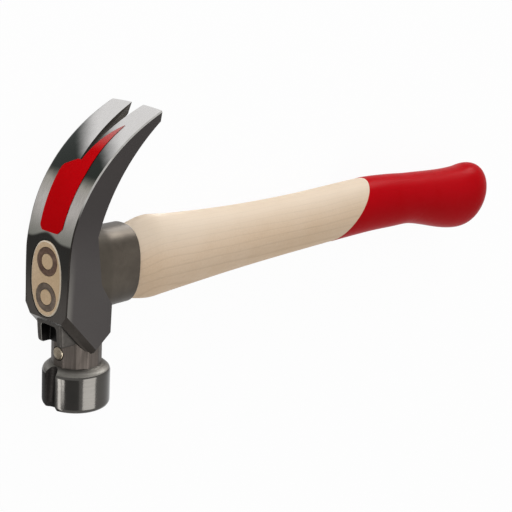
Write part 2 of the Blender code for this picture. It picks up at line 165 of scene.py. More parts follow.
# Place along the handle, added height and added width
COLLAR_STATIONS = (
    (-11.0, 0.8, -1.2),
    (-4.0, 0.8, -0.6),
    (4.0, 0.8, 0.0),
    (12.0, 0.3, 0.0),
    (18.0, 0.0, 0.0),
)
GAP = 0.3

# Ring wedges
RING_RADIUS = 6.35
RING_WALL = 2.75
RING_DEPTH = 12.0
RING_SHIFT = -0.25
RING_TIP = 0.35
RING_ROUND = 0.35
RING_PROUD = 0.12
RING_GROOVE = 0.15
RING_HEIGHTS = {"ring_wedge_upper": 7.9, "ring_wedge_lower": -8.2}

# Handle
BUTT_REACH = 324.2
BUTT_ROUND = 20.9
BUTT_POWER = 2.3
BUTT_LEAN = 0.10
HANDLE_START = COLLAR_END + GAP
SWELL_RUN = 17.0
SWELL_START = (34.2, 21.0)
SWELL_FULL = (39.4, 27.8)
SWELL_EASE = 0.6
SWELL_STEPS = (0.015, 0.06, 0.15, 0.3, 0.45, 0.55, 0.65, 0.72, 0.79, 0.86, 0.93)
HANDLE_STEPS = 96
SIDE_RINGS = 60
GRIP_RINGS = 40
BUTT_RINGS = 15
BUTT_CLOSE = 0.985
DIP_START = 191.0
DIP_SLANT = 0.90
COAT_FILM = 0.15
COAT_DEPTH = 0.6

# Claw label
LABEL_WIDTH = 13.8
LABEL_LOW = 21.0
LABEL_TOP = 47.8
LABEL_TAIL = 65.5
LABEL_LIFT = 0.10
LABEL_THICK = 0.16
LABEL_BORDER = 0.35
LABEL_GRID = 1.0

# Finishes: marks run along the directions in which these are small
TURNED = (60, 1500, 60)
SPECKLED = (500, 500, 500)
MARK_SHADE = 0.62
ARCH_ASIDE = 2.0
ARCH_REACH = 10.5

places = {mount["name"]: Vector(mount["pos_m"]) for mount in frame["record"]["mounts"]}
RAKE = math.radians(POLL_RAKE)
FACE_LIFT = FACE_RADIUS * math.sin(RAKE)
CROSSING = places["striking_face"] + Vector((0, (FACE_DROP - FACE_LIFT) * MM, 0))
ANGLES = [(i + 0.5) * 2 * math.pi / HANDLE_STEPS for i in range(HANDLE_STEPS)]


# Shader building

def add(tree, kind, **settings):
    """New node with its settings."""
    made = tree.nodes.new(kind)
    for key, value in settings.items():
        setattr(made, key, value)
    return made


def feed(tree, socket, value):
    """A socket takes a link from another socket, a colour of three values, or a plain value."""
    if isinstance(value, bpy.types.NodeSocket):
        tree.links.new(value, socket)
    elif socket.type == "RGBA" and len(value) == 3:
        socket.default_value = (*value, 1.0)
    else:
        socket.default_value = value


def fill(tree, node, values):
    """Feeds a node's inputs by name."""
    for label, value in values.items():
        feed(tree, node.inputs[label], value)


def maths(tree, operation, first, second=0.0):
    made = add(tree, "ShaderNodeMath", operation=operation)
    feed(tree, made.inputs[0], first)
    feed(tree, made.inputs[1], second)
    return made.outputs[0]


def plus(tree, first, second):
    return maths(tree, "ADD", first, second)


def minus(tree, first, second):
    return maths(tree, "SUBTRACT", first, second)


def times(tree, first, second):
    return maths(tree, "MULTIPLY", first, second)


def spread(tree, value, low, high, to_low=0.0, to_high=1.0):
    """Maps low..high smoothly onto to_low..to_high."""
    made = add(tree, "ShaderNodeMapRange", interpolation_type="SMOOTHSTEP")
    fill(tree, made, {"Value": value, "From Min": low, "From Max": high})
    fill(tree, made, {"To Min": to_low, "To Max": to_high})
    return made.outputs["Result"]


def blend(tree, mask, first, second, share=1.0):
    """Goes from the first colour to the second by a share of a mask."""
    made = add(tree, "ShaderNodeMix", data_type="RGBA")
    if share != 1.0:
        mask = times(tree, mask, share)
    fill(tree, made, {"Factor": mask, "A": first, "B": second})
    return made.outputs["Result"]


def noise(tree, vector, scale, detail, roughness=0.55):
    made = add(tree, "ShaderNodeTexNoise")
    fill(tree, made, {"Vector": vector, "Scale": scale, "Detail": detail, "Roughness": roughness})
    return made.outputs["Fac"]


def surface_place(tree):
    """Place of a surface point in the row frame, in metres."""
    return add(tree, "ShaderNodeTexCoord").outputs["Object"]


def parted(tree, vector):
    """The three parts of a vector."""
    made = add(tree, "ShaderNodeSeparateXYZ")
    feed(tree, made.inputs[0], vector)
    return made.outputs


def socket_kind(value):
    """Kind of group socket that holds a plain value, a vector or a colour."""
    size = len(value) if isinstance(value, tuple) else 1
    return {1: "NodeSocketFloat", 3: "NodeSocketVector", 4: "NodeSocketColor"}[size]


def new_group(name, inputs, outputs):
    """Empty shader group with named sockets, the values that its user gives, and its output node."""
    group = bpy.data.node_groups.new(name, "ShaderNodeTree")
    for label, value in inputs.items():
        socket = group.interface.new_socket(label, in_out="INPUT", socket_type=socket_kind(value))
        socket.default_value = value
    for label, value in outputs.items():
        group.interface.new_socket(label, in_out="OUTPUT", socket_type=socket_kind(value))
    return group, add(group, "NodeGroupInput").outputs, add(group, "NodeGroupOutput")


def streaks_group():
    """Fine lines drawn out along one direction: brushing marks, turning marks and wood pores."""
    inputs = {"Stretch": (100.0, 100.0, 100.0), "Low": 0.35, "High": 0.65}
    group, given, made = new_group("streaks", inputs, {"Mask": 0.0})
    drawn = add(group, "ShaderNodeVectorMath", operation="MULTIPLY")
    feed(group, drawn.inputs[0], surface_place(group))
    feed(group, drawn.inputs[1], given["Stretch"])
    lines = noise(group, drawn.outputs[0], 1.0, 5.0, 0.6)
    feed(group, made.inputs["Mask"], spread(group, lines, given["Low"], given["High"]))
    return group


def mottle_group():
    """Soft cloudy change between two colours, with a finer grain over it."""
    grey = (0.5, 0.5, 0.5, 1.0)
    inputs = {"Colour": grey, "Other": grey, "Scale": 60.0, "Grain": 2500.0}
    group, given, made = new_group("mottle", inputs, {"Colour": grey, "Mask": 0.0, "Grain": 0.0})
    place = surface_place(group)
    cloud = noise(group, place, given["Scale"], 3.0)
    grain = noise(group, place, given["Grain"], 2.0)
    both = plus(group, times(group, cloud, 0.65), times(group, grain, 0.35))
    mask = spread(group, both, 0.32, 0.68)
    tone = blend(group, mask, given["Colour"], given["Other"])
    fill(group, made, {"Colour": tone, "Mask": mask, "Grain": grain})
    return group


def rise_group():
    """Mask that goes from 0 to 1 between two heights on the head. Its edge can be ragged, arch over
    the claw's middle, and tilt across the head, and the tilt can start again on the near prong."""
    inputs = {"Low": 0.0, "High": 0.01, "Arch": 0.0, "Tilt": 0.0, "Split": 0.0, "Ragged": 0.001}
    group, given, made = new_group("rise", inputs, {"Mask": 0.0})
    place = surface_place(group)
    parts = parted(group, place)
    across = minus(group, parts["Z"], CROSSING.z)
    aside = maths(group, "ABSOLUTE", plus(group, across, ARCH_ASIDE * MM))
    bow = spread(group, aside, 0.0, ARCH_REACH * MM, times(group, given["Arch"], -1.0), 0.0)
    wander = minus(group, noise(group, place, 130.0, 3.0), 0.5)
    again = times(group, maths(group, "GREATER_THAN", across, 0.0), given["Split"])
    slope = times(group, minus(group, across, again), given["Tilt"])
    shift = times(group, wander, given["Ragged"])
    height = plus(group, plus(group, parts["Y"], bow), plus(group, slope, shift))
    feed(group, made.inputs["Mask"], spread(group, height, given["Low"], given["High"]))
    return group


STREAKS = streaks_group()
MOTTLE = mottle_group()
RISE = rise_group()


def place_group(tree, group, **values):
    """Puts a shared group into a material, with its own values."""
    made = add(tree, "ShaderNodeGroup", node_tree=group)
    fill(tree, made, values)
    return made.outputs


def streaked(tree, stretch, **more):
    """Mask of marks, drawn out along the directions that stretch is small in."""
    return place_group(tree, STREAKS, Stretch=stretch, **more)["Mask"]


def mottled(tree, colour, other, scale, **more):
    """Cloudy colour, its mask and its grain."""
    return place_group(tree, MOTTLE, Colour=colour, Other=other, Scale=scale, **more)


def up_head(value):
    """Height on the head, as the row frame's y in metres."""
    return CROSSING.y + value * MM


def rising(tree, low, high, **more):
    """Mask that goes from 0 to 1 between two heights on the head."""
    return place_group(tree, RISE, Low=up_head(low), High=up_head(high), **more)["Mask"]


def falling(tree, axis, low, high):
    """Mask that goes from 1 to 0 between two places along one of the row frame's axes."""
    start = getattr(CROSSING, axis.lower())
    place = parted(tree, surface_place(tree))[axis]
    return spread(tree, place, start + low * MM, start + high * MM, 1.0, 0.0)


def start_finish(name, metallic, roughness, specular=0.5):
    """New material, its nodes and its shader."""
    made = bpy.data.materials.new(name)
    made.use_nodes = True
    tree = made.node_tree
    shader = tree.nodes["Principled BSDF"]
    fill(tree, shader, {"Metallic": metallic, "Roughness": roughness, "Specular IOR Level": specular})
    return made, tree, shader


def dress(tree, shader, colour, uneven, rough, height, strength, distance):
    """Gives a finish its colour, its range of roughness over a mask, and its bump."""
    raised = add(tree, "ShaderNodeBump")
    fill(tree, raised, {"Strength": strength, "Distance": distance * MM, "Height": height})
    gloss = spread(tree, uneven, 0.0, 1.0, *rough)
    fill(tree, shader, {"Base Color": colour, "Roughness": gloss, "Normal": raised.outputs["Normal"]})


def steel(name, colour, other, rough, stretch, lines=0.25, relief=0.08, scale=60.0):
    """Steel with a cloudy tone, and darker marks over it."""
    made, tree, shader = start_finish(name, 1.0, rough[0])
    tone = mottled(tree, colour, other, scale)
    marks = streaked(tree, stretch)
    darker = [value * MARK_SHADE for value in colour]
    shade = blend(tree, marks, tone["Colour"], darker, lines)
    uneven = plus(tree, times(tree, marks, 0.5), times(tree, tone["Mask"], 0.5))
    dress(tree, shader, shade, uneven, rough, marks, relief, 0.05)
    return made


def cheek_satin():
    """Satin side plates, lighter in a soft strip behind the eye face that fades out upwards."""
    made, tree, shader = start_finish("cheek_satin", 1.0, 0.3)
    tone = mottled(tree, (0.055, 0.050, 0.049), (0.059, 0.054, 0.052), 40.0)
    plate = blend(tree, rising(tree, 2.0, 36.0), tone["Colour"], (0.038, 0.034, 0.033))
    behind = falling(tree, "X", -EYE_FRONT + 0.8, -EYE_FRONT + 4.5)
    strip = times(tree, behind, falling(tree, "Y", -13.0, 22.0))
    paler = blend(tree, strip, plate, (0.125, 0.118, 0.108))
    marks = streaked(tree, (1900, 1900, 1900))
    shade = blend(tree, marks, paler, (0.036, 0.033, 0.032), 0.10)
    dress(tree, shader, shade, marks, (0.29, 0.34), marks, 0.03, 0.03)
    return made


def edge_steel():
    """Narrow bevel along the front edge: dark beside the eye, and pale ground steel up the near side of the
    claw as a painted highlight.
    """
    made, tree, shader = start_finish("edge_steel", 1.0, 0.3)
    marks = streaked(tree, (500, 90, 900))
    ground = blend(tree, marks, (0.48, 0.47, 0.45), (0.38, 0.37, 0.35))
    # Painted highlight: the pale edge shows high up the claw on the near side, and mostly not on the far
    # side.
    near = minus(tree, 1.0, times(tree, falling(tree, "Z", -12.0, -8.0), 0.9))
    edge_highlight = times(tree, rising(tree, 28.0, 38.0), near)
    shade = blend(tree, edge_highlight, (0.030, 0.027, 0.024), ground)
    dress(tree, shader, shade, marks, (0.24, 0.36), marks, 0.05, 0.04)
    return made


def collar_steel():
    """Mottled forged collar, rougher and with painted shade where it runs into the cheek plate."""
    made, tree, shader = start_finish("collar_steel", 1.0, 0.3)
    tone = mottled(tree, (0.049, 0.041, 0.033), (0.066, 0.056, 0.045), 150.0)
    dull_and_shaded = falling(tree, "X", 5.0, 10.5)
    # Painted shade: darker towards the cheek plate.
    shade = blend(tree, dull_and_shaded, tone["Colour"], (0.028, 0.025, 0.020), 0.4)
    dress(tree, shader, shade, dull_and_shaded, (0.42, 0.60), tone["Grain"], 0.06, 0.05)
    return made


def shoulder_steel():
    """Shoulder of the bell, with painted light that makes its front paler than its back, and painted shade
    where it meets the neck's foot.
    """
    made, tree, shader = start_finish("shoulder_steel", 1.0, 0.5)
    tone = mottled(tree, (0.160, 0.151, 0.136), (0.215, 0.206, 0.188), 170.0)
    # Painted light: paler in front, darker behind.
    base = blend(tree, falling(tree, "X", 0.0, 12.0), (0.135, 0.127, 0.115), tone["Colour"])
    foot = BELL_LENGTH - FACE_DROP + SHOULDER_RISE
    # Painted shade at the neck's foot.
    neck_foot_shade = rising(tree, foot - 0.55 * SHOULDER_RISE, foot - 0.05 * SHOULDER_RISE)
    base = blend(tree, neck_foot_shade, base, (0.060, 0.054, 0.047), 0.7)
    marks = streaked(tree, TURNED)
    shade = blend(tree, marks, base, (0.080, 0.075, 0.067), 0.25)
    dress(tree, shader, shade, marks, (0.48, 0.62), marks, 0.06, 0.05)
    return made


def claw_polish():
    """Ground, brushed claw face, a dark eye face below it, and a painted reflection up the claw: grey zones,
    a dark stripe and pale prong ends.
    """
    made, tree, shader = start_finish("claw_polish", 1.0, 0.25)
    brushed = streaked(tree, (700.0, 60.0, 1500.0), Low=0.3, High=0.7)
    fine = mottled(tree, (0.40, 0.375, 0.355), (0.47, 0.445, 0.425), 90.0)
    # Grey rising from the arch and darker again higher up: painted reflection over the ground steel.
    ground = blend(tree, rising(tree, 16.0, 33.0, Ragged=0.002), (0.165, 0.165, 0.145), fine["Colour"])
    ground = blend(tree, rising(tree, 33.0, 48.0, Ragged=0.002), ground, (0.26, 0.25, 0.21))
    lined = blend(tree, brushed, ground, (0.17, 0.165, 0.15), 0.28)
    eye = blend(tree, rising(tree, -12.0, 9.0), (0.058, 0.052, 0.047), (0.020, 0.019, 0.017))
    # Pale colour of the painted reflection on the prong ends.
    pale = blend(tree, brushed, (0.66, 0.645, 0.635), (0.50, 0.49, 0.48), 0.25)
    arch = rising(tree, 16.5, 18.1, Arch=0.0033, Ragged=0.0008)
    # Painted reflection: a dark stripe across the claw, and pale prong ends above it that tilt across the
    # head.
    reflected_dark_stripe = rising(tree, 40.8, 46.4, Ragged=0.0030)
    reflected_pale_ends = rising(tree, 48.6, 60.0, Tilt=0.67, Split=0.0145, Ragged=0.0030)
    shade = blend(tree, arch, eye, lined)
    shade = blend(tree, reflected_dark_stripe, shade, (0.024, 0.028, 0.025))
    shade = blend(tree, reflected_pale_ends, shade, pale)
    dress(tree, shader, shade, brushed, (0.20, 0.34), brushed, 0.05, 0.04)
    return made


def late_wood(tree):
    """Mask of the darker part of each growth ring, in rings round a line beside the handle."""
    laid = add(tree, "ShaderNodeMapping")
    lean = (0.0, math.radians(1.4), math.radians(-1.8))
    fill(tree, laid, {"Vector": surface_place(tree), "Location": (0.0, -0.041, 0.0217), "Rotation": lean})
    feed(tree, laid.inputs["Scale"], (0.16, 1.0, 1.0))
    rings = add(tree, "ShaderNodeTexWave", wave_type="RINGS", rings_direction="X", wave_profile="SAW")
    fill(tree, rings, {"Vector": laid.outputs["Vector"], "Scale": 120.0, "Distortion": 3.2})
    fill(tree, rings, {"Detail": 2.0, "Detail Scale": 0.8})
    return spread(tree, rings.outputs["Fac"], 0.72, 1.0)


def hickory(name, end_grain, early=(0.79, 0.588, 0.402), pale=(0.85, 0.662, 0.486)):
    """Pale hickory: growth rings, long pores, and a painted sheen that pales the upper side."""
    made, tree, shader = start_finish(name, 0.0, 0.5, 0.02)
    late = late_wood(tree)
    stretch = (900.0, 1500.0, 1500.0) if end_grain else (55.0, 1700.0, 1700.0)
    pores = streaked(tree, stretch, Low=0.55, High=0.72)
    tone = mottled(tree, early, pale, 28.0, Grain=900.0)
    if end_grain:
        base = blend(tree, tone["Mask"], (0.60, 0.44, 0.27), tone["Colour"], 0.6)
        ringed = blend(tree, late, base, (0.42, 0.27, 0.15), 0.14)
        shade = blend(tree, pores, ringed, (0.36, 0.23, 0.13), 0.28)
    else:
        ringed = blend(tree, late, tone["Colour"], (0.50, 0.35, 0.205), 0.20)
        pored = blend(tree, pores, ringed, (0.45, 0.33, 0.20), 0.16)
        # Painted sheen: the upper side of the handle is paler, as light from above would make it.
        upper_sheen = minus(tree, 1.0, falling(tree, "Y", -1.0, 15.0))
        shade = blend(tree, upper_sheen, pored, (0.80, 0.70, 0.58), 0.6)
    dress(tree, shader, shade, pores, (0.44, 0.62), times(tree, pores, -1.0), 0.10, 0.06)
    return made


def red_gloss(name, colour, other, rough, peel, tail_paling=0.0):
    """Smooth red film with a faint ripple in its gloss, its colour paler up the label's tail."""
    made, tree, shader = start_finish(name, 0.0, rough, 0.012)
    tone = mottled(tree, colour, other, 35.0)
    shade = blend(tree, rising(tree, 55.0, 67.0), tone["Colour"], (0.46, 0.36, 0.34), tail_paling)
    ripple = noise(tree, surface_place(tree), 420.0, 2.0)
    dress(tree, shader, shade, tone["Mask"], (rough, rough + 0.06), ripple, peel, 0.10)
    return made


CLAW_POLISH = claw_polish()
CHEEK_SATIN = cheek_satin()
EDGE_STEEL = edge_steel()
SHOULDER_STEEL = shoulder_steel()
COLLAR_STEEL = collar_steel()
# Painted shade: the cheek plate's low bevel is darker than the plate.
SHADED_BEVEL_STEEL = steel(
    "shaded_bevel_steel", (0.036, 0.031, 0.027), (0.048, 0.042, 0.037), (0.42, 0.55), (400, 400, 400), 0.2, 0.05
)
SLOT_STEEL = steel(
    "slot_steel", (0.036, 0.031, 0.026), (0.058, 0.050, 0.041), (0.34, 0.48), (80, 80, 900), 0.35
)
NECK_STEEL = steel(
    "neck_steel", (0.066, 0.056, 0.049), (0.082, 0.070, 0.062), (0.46, 0.58), (1100, 60, 1100), 0.35, 0.10
)
BELL_STEEL = steel(
    "bell_steel", (0.070, 0.066, 0.061), (0.080, 0.076, 0.070), (0.12, 0.17), TURNED, 0.15, 0.02
)
# Painted glint: pale steel on the broken edges of the groove and the nail pocket.
LIP_GLINT = steel(
    "lip_glint", (0.22, 0.21, 0.19), (0.34, 0.33, 0.30), (0.34, 0.46), SPECKLED, 0.3, 0.05
)
# Painted shade: the nail groove is much darker than the bell.
SHADED_GROOVE_STEEL = steel(
    "shaded_groove_steel", (0.018, 0.016, 0.015), (0.030, 0.027, 0.025), (0.46, 0.60), TURNED, 0.2, 0.03
)
FORK_STEEL = steel(
    "fork_steel", (0.046, 0.042, 0.038), (0.062, 0.057, 0.052), (0.48, 0.62), SPECKLED, 0.2, 0.05
)
# Painted shade: near black inside the nail pocket and the magnet seat.
SHADED_POCKET_STEEL = steel(
    "shaded_pocket_steel", (0.008, 0.008, 0.008), (0.016, 0.015, 0.014), (0.30, 0.45), (400, 400, 400)
)
MAGNET_NICKEL = steel(
    "magnet_nickel", (0.15, 0.12, 0.085), (0.30, 0.26, 0.20), (0.24, 0.36), (700, 700, 700), 0.3, 0.05, 300.0
)
RING_TONES = {
    "ring_wedge_upper": ("ring_brown", (0.066, 0.038, 0.028), (0.150, 0.096, 0.070)),
    "ring_wedge_lower": ("ring_grey", (0.080, 0.060, 0.047), (0.152, 0.118, 0.092)),
}
RING_FINISHES = {}
for node, tones in RING_TONES.items():
    RING_FINISHES[node] = steel(*tones, (0.30, 0.46), SPECKLED, 0.5, 0.1, 260.0)
WOOD_SIDE = hickory("hickory_side", False)
WOOD_END = hickory("hickory_end", True)
WOOD_RIM = hickory("hickory_rim", False, (0.72, 0.62, 0.48), (0.80, 0.72, 0.58))
RED_DIP = red_gloss("red_dip_gloss", (0.455, 0.0010, 0.004), (0.49, 0.0014, 0.006), 0.26, 0.012)
RED_FILM = red_gloss("red_film", (0.485, 0.0010, 0.003), (0.515, 0.0014, 0.004), 0.30, 0.012, 0.55)
FILM_BORDER = red_gloss("film_border", (0.60, 0.16, 0.15), (0.68, 0.26, 0.24), 0.34, 0.02, 0.55)


# Mesh building

def stand(name, data):
    """New object in the scene."""
    obj = bpy.data.objects.new(name, data)
    scene.collection.objects.link(obj)
    return obj


def body(name, points, faces, finishes, marks):
    """Object from points in millimetres, its faces turned outwards, with a finish number for each face."""
    mesh = bpy.data.meshes.new(name)
    mesh.from_pydata([CROSSING + MM * Vector(point) for point in points], [], faces)
    for finish in finishes:
        mesh.materials.append(finish)
    mesh.polygons.foreach_set("material_index", marks)
    skin = bmesh.new()
    skin.from_mesh(mesh)
    bmesh.ops.recalc_face_normals(skin, faces=skin.faces)
    skin.to_mesh(mesh)
    skin.free()
    return stand(name, mesh)


def loft(name, rings, finishes, marks=None, loop=False):
    """Closed skin through rings of equal count: flat at both ends, or a loop from the last to the first."""
    marks = marks or [0] * len(rings)
    count = len(rings[0])
    points = [point for ring in rings for point in ring]
    total = len(points)
    faces = []
    marked = []
    for k in range(len(rings) if loop else len(rings) - 1):
        for i in range(count):
            j = (i + 1) % count
            low = k * count
            high = (low + count) % total
            faces.append((low + i, low + j, high + j, high + i))
            marked.append(marks[k])
    if not loop:
        faces += [tuple(range(count)), tuple(range(total - count, total))]
        marked += [marks[0], marks[-1]]
    return body(name, points, faces, finishes, marked)


def oval(x, centre, height, width, lean=0.0, shift=0.0, power=2.0):
    """Ring round the handle's direction, squarer above a power of 2, leaning across with height."""
    ring = []
    for angle in ANGLES:
        rise = math.copysign(abs(math.cos(angle)) ** (2 / power), math.cos(angle)) * height / 2
        side = math.copysign(abs(math.sin(angle)) ** (2 / power), math.sin(angle)) * width / 2
        ring.append((x, centre + rise, side + lean * rise + shift))
    return ring


def turned_down(radius, drop, steps):
    """Ring round the poll's axis."""
    ring = []
    for i in range(steps):
        angle = 2 * math.pi * i / steps
        ring.append((radius * math.cos(angle), -drop, radius * math.sin(angle)))
    return ring


def raked(rings):
    """Rings turned with the poll, whose axis leans a little about the middle of the striking face."""
    turned = []
    for ring in rings:
        turned.append([(
            x * math.cos(RAKE) - (y + FACE_DROP) * math.sin(RAKE),
            x * math.sin(RAKE) + (y + FACE_DROP) * math.cos(RAKE) - FACE_DROP + FACE_LIFT,
            z,
        ) for x, y, z in ring])
    return turned


def turned_front(radius, x, height, shift=0.0, steps=72):
    """Ring round a line along the handle's direction."""
    ring = []
    for i in range(steps):
        angle = 2 * math.pi * i / steps
        ring.append((x, height + radius * math.cos(angle), shift + radius * math.sin(angle)))
    return ring


def soft_rectangle(half_wide, half_high, corner, steps=5):
    """Outline of a rectangle with round corners."""
    outline = []
    for turn in range(4):
        side = 1 if turn in (0, 3) else -1
        rise = 1 if turn in (0, 1) else -1
        for k in range(steps + 1):
            angle = math.pi / 2 * (turn + k / steps)
            outline.append((
                side * (half_wide - corner) + corner * math.cos(angle),
                rise * (half_high - corner) + corner * math.sin(angle),
            ))
    return outline


def combine(obj, other, operation):
    """Joins or cuts with another body, whose finishes come along, and removes that body."""
    step = obj.modifiers.new(operation.lower(), "BOOLEAN")
    step.operation = operation
    step.solver = "EXACT"
    step.material_mode = "TRANSFER"
    step.object = other
    bpy.context.view_layer.update()
    graph = bpy.context.evaluated_depsgraph_get()
    mesh = bpy.data.meshes.new_from_object(obj.evaluated_get(graph))
    obj.modifiers.clear()
    obj.data = mesh
    bpy.data.objects.remove(other)


def finish_piece(obj, nodes, sharp=30.0):
    """Smooth shading that keeps edges, and the piece's place in the frame."""
    obj.data.shade_smooth()
    obj.data.set_sharp_from_angle(angle=math.radians(sharp))
    even = obj.modifiers.new("even_shading", "WEIGHTED_NORMAL")
    even.keep_sharp = True
    even.weight = 80
    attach(obj, "root")
    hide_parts(*nodes)


def bezier(start, pull, push, end, count):
    """Points along a curve that leaves its start towards pull and comes to its end from push."""
    points = []
    for i in range(count):
        t = i / (count - 1)
        s = 1 - t
        points.append(s**3 * start + 3 * s * s * t * pull + 3 * s * t * t * push + t**3 * end)
    return points


def eased(t):
    """Smooth step from 0 to 1."""
    t = min(max(t, 0.0), 1.0)
    return t * t * (3 - 2 * t)


# Head outline seen from the side

tip_way = Vector((math.cos(math.radians(TIP_ANGLE)), math.sin(math.radians(TIP_ANGLE))))
tip_out = Vector((CLAW_REACH, CLAW_RISE)) + TIP_MORE * tip_way
tip_in = tip_out - Vector((TIP_LEAN, TIP_THICK))
outer_curve = bezier(
    Vector((-EYE_FRONT, CLAW_START)),
    Vector((-EYE_FRONT, CLAW_START + CLAW_PULL)),
    tip_out - (TIP_PULL + TIP_MORE) * tip_way,
    tip_out,
    CLAW_POINTS,
)
inner_curve = bezier(
    Vector(THROAT_TOP),
    Vector(THROAT_PULL),
    tip_in - TIP_MORE * tip_way - Vector(INNER_PULL),
    tip_in,
    CLAW_POINTS,
)
point_low = Vector(CHEEK_POINT)
front_chain = [
    point_low - Vector((CHEEK_TIP, 0)),
    Vector((-EYE_FRONT, -CHEEK_CORNER)),
    Vector((-EYE_FRONT, -CHEEK_CORNER * 0.5)),
    Vector((-EYE_FRONT, 0)),
    Vector((-EYE_FRONT, CLAW_START / 2)),
] + outer_curve
rear_chain = [
    point_low + Vector((CHEEK_TIP, 0)),
    Vector(CHEEK_REAR),
    Vector(CHEEK_WAIST),
    (Vector(CHEEK_WAIST) + Vector(CHEEK_THROAT)) / 2,
    Vector(CHEEK_THROAT),
] + inner_curve
side_outline = front_chain + rear_chain[::-1]
side_count = len(side_outline)
chain_count = len(front_chain)
BEVEL_LEVEL = 1 - CHEEK_BEVEL * 2 / CHEEK_WIDTH
EDGE_LEVEL = 1 - CLAW_EDGE * 2 / CHEEK_WIDTH
LEVELS = [0, 0.16, 0.32, 0.47, 0.6, 0.7, BEVEL_LEVEL, 0.82, 0.88, 0.93, EDGE_LEVEL, 1]
LEVELS = [-level for level in LEVELS[:0:-1]] + LEVELS


def half_width(y, trim=0.0):
    """Half the head's width: full round the eye, then a flare along the claw, less a trim at its tip."""
    rise = min(max(0.0, (y - FLARE_START) / (CLAW_RISE - FLARE_START)), 1.0)
    full = EYE_BULGE * eased(1 - abs(y - BULGE_HEIGHT) / BULGE_REACH)
    flare = (CLAW_WIDTH - CHEEK_WIDTH) / 2 * (1 - (1 - rise) ** FLARE_POWER)
    return CHEEK_WIDTH / 2 + full - trim * rise + flare


def edge_shift(i, level):
    """Outward shift of outline edge i at a fraction of the half width: bevels, and the claw's crown."""
    size = abs(level)
    if i in (0, side_count - 1, side_count - 2):
        return min(CHEEK_BEVEL, (1 - size) * CHEEK_WIDTH / 2)
    edge = max(0.0, (size - EDGE_LEVEL) / (1 - EDGE_LEVEL))
    if i < chain_count - 1:
        along = (i - 5) / (CLAW_POINTS - 2)
        crown = CLAW_CROWN * size * size * eased(along / 0.5)
        return -crown - edge * (NEAR_EDGE if level > 0 else FAR_EDGE * eased(along / 0.15))
    if i < chain_count + CLAW_POINTS - 1:
        return -edge * REAR_EDGE
    return 0.0


def head_section(level):
    """The side outline at a fraction of the half width, each corner mitred."""
    ring = []
    for i, point in enumerate(side_outline):
        before = (point - side_outline[i - 1]).normalized()
        after = (side_outline[(i + 1) % side_count] - point).normalized()
        one = Vector((-before.y, before.x))
        two = Vector((-after.y, after.x))
        shift_one = edge_shift((i - 1) % side_count, level)
        shift_two = edge_shift(i, level)
        turn = one.x * two.y - one.y * two.x
        if abs(turn) > 0.2:
            along = shift_one * two.y - shift_two * one.y
            moved = Vector((along, shift_two * one.x - shift_one * two.x)) / turn
        else:
            moved = (one + two).normalized() * (shift_one + shift_two) / 2
        flat = point + moved
        trim = NEAR_TRIM if level > 0 and i < chain_count else 0.0
        ring.append(Vector((flat.x, flat.y, level * half_width(point.y, trim))))
    return ring


def head_mark(i, level):
    """Finish of the strip on outline edge i: 0 polish, 1 satin, 2 front edge, 3 a cheek's low bevel."""
    if 0 < i < chain_count - 1:
        return 2 if abs(level) > EDGE_LEVEL else 0
    if i in (0, side_count - 1, side_count - 2):
        return 3 if abs(level) > BEVEL_LEVEL else 1
    return 1


def cheek_rows(points, start, side):
    """Rows of points over one cheek, from its low point to the claw's tip, added to the points."""
    rows = []
    for j in range(chain_count):
        front = start + j
        rear = start + side_count - 1 - j
        row = [front]
        for c in range(1, CHEEK_COLUMNS if 0 < j < chain_count - 1 else 1):
            share = c / CHEEK_COLUMNS
            place = points[front].lerp(points[rear], share)
            trim = NEAR_TRIM * (1 - share) if side > 0 else 0.0
            points.append(Vector((place.x, place.y, side * half_width(place.y, trim))))
            row.append(len(points) - 1)
        rows.append(row + [rear])
    return rows


def cheek_faces(rows):
    """Grid of faces over one cheek, with a fan of triangles at each of its narrow ends."""
    half = CHEEK_COLUMNS // 2
    low, first, last, top = rows[0], rows[1], rows[-2], rows[-1]
    faces = [(low[0], low[1], first[half]), (last[half], top[1], top[0])]
    for c in range(CHEEK_COLUMNS):
        end = 0 if c < half else 1
        faces.append((low[end], first[c + 1], first[c]))
        faces.append((last[c], last[c + 1], top[end]))
        for one, two in zip(rows[1:-1], rows[2:-1]):
            faces.append((one[c], one[c + 1], two[c + 1], two[c]))
    return faces


def claw_and_cheeks():
    """The forging's claw and side plates, before the rest is joined on."""
    points = [point for level in LEVELS for point in head_section(level)]
    faces = []
    marks = []
    for k in range(len(LEVELS) - 1):
        low = k * side_count
        middle = (LEVELS[k] + LEVELS[k + 1]) / 2
        for i in range(side_count):
            j = (i + 1) % side_count
            faces.append((low + i, low + j, low + side_count + j, low + side_count + i))
            marks.append(head_mark(i, middle))
    for start, side in ((0, -1), ((len(LEVELS) - 1) * side_count, 1)):
        cheek = cheek_faces(cheek_rows(points, start, side))
        faces += cheek
        marks += [1] * len(cheek)
    return body("head_forging", points, faces, [CLAW_POLISH, CHEEK_SATIN, EDGE_STEEL, SHADED_BEVEL_STEEL], marks)


def fork_block():
    """Block under the eye that the nail pocket parts into a fork, leaning a little and round at its end."""
    outline = soft_rectangle((FORK_FRONT - FORK_BACK) / 2, FORK_WIDTH / 2, 1.3)
    rings = []
    for drop, inset in FORK_RINGS:
        wide = 1 - 2 * inset / FORK_WIDTH
        middle = FORK_LEAN * (drop - FORK_LEVEL) - (FORK_FRONT + FORK_BACK) / 2
        rings.append([(x * wide + middle, -drop, z * wide) for x, z in outline])
    rings.append([(x * FORK_END + middle, -FORK_DROP, z * FORK_END) for x, z in outline])
    return loft("fork", rings, [FORK_STEEL])


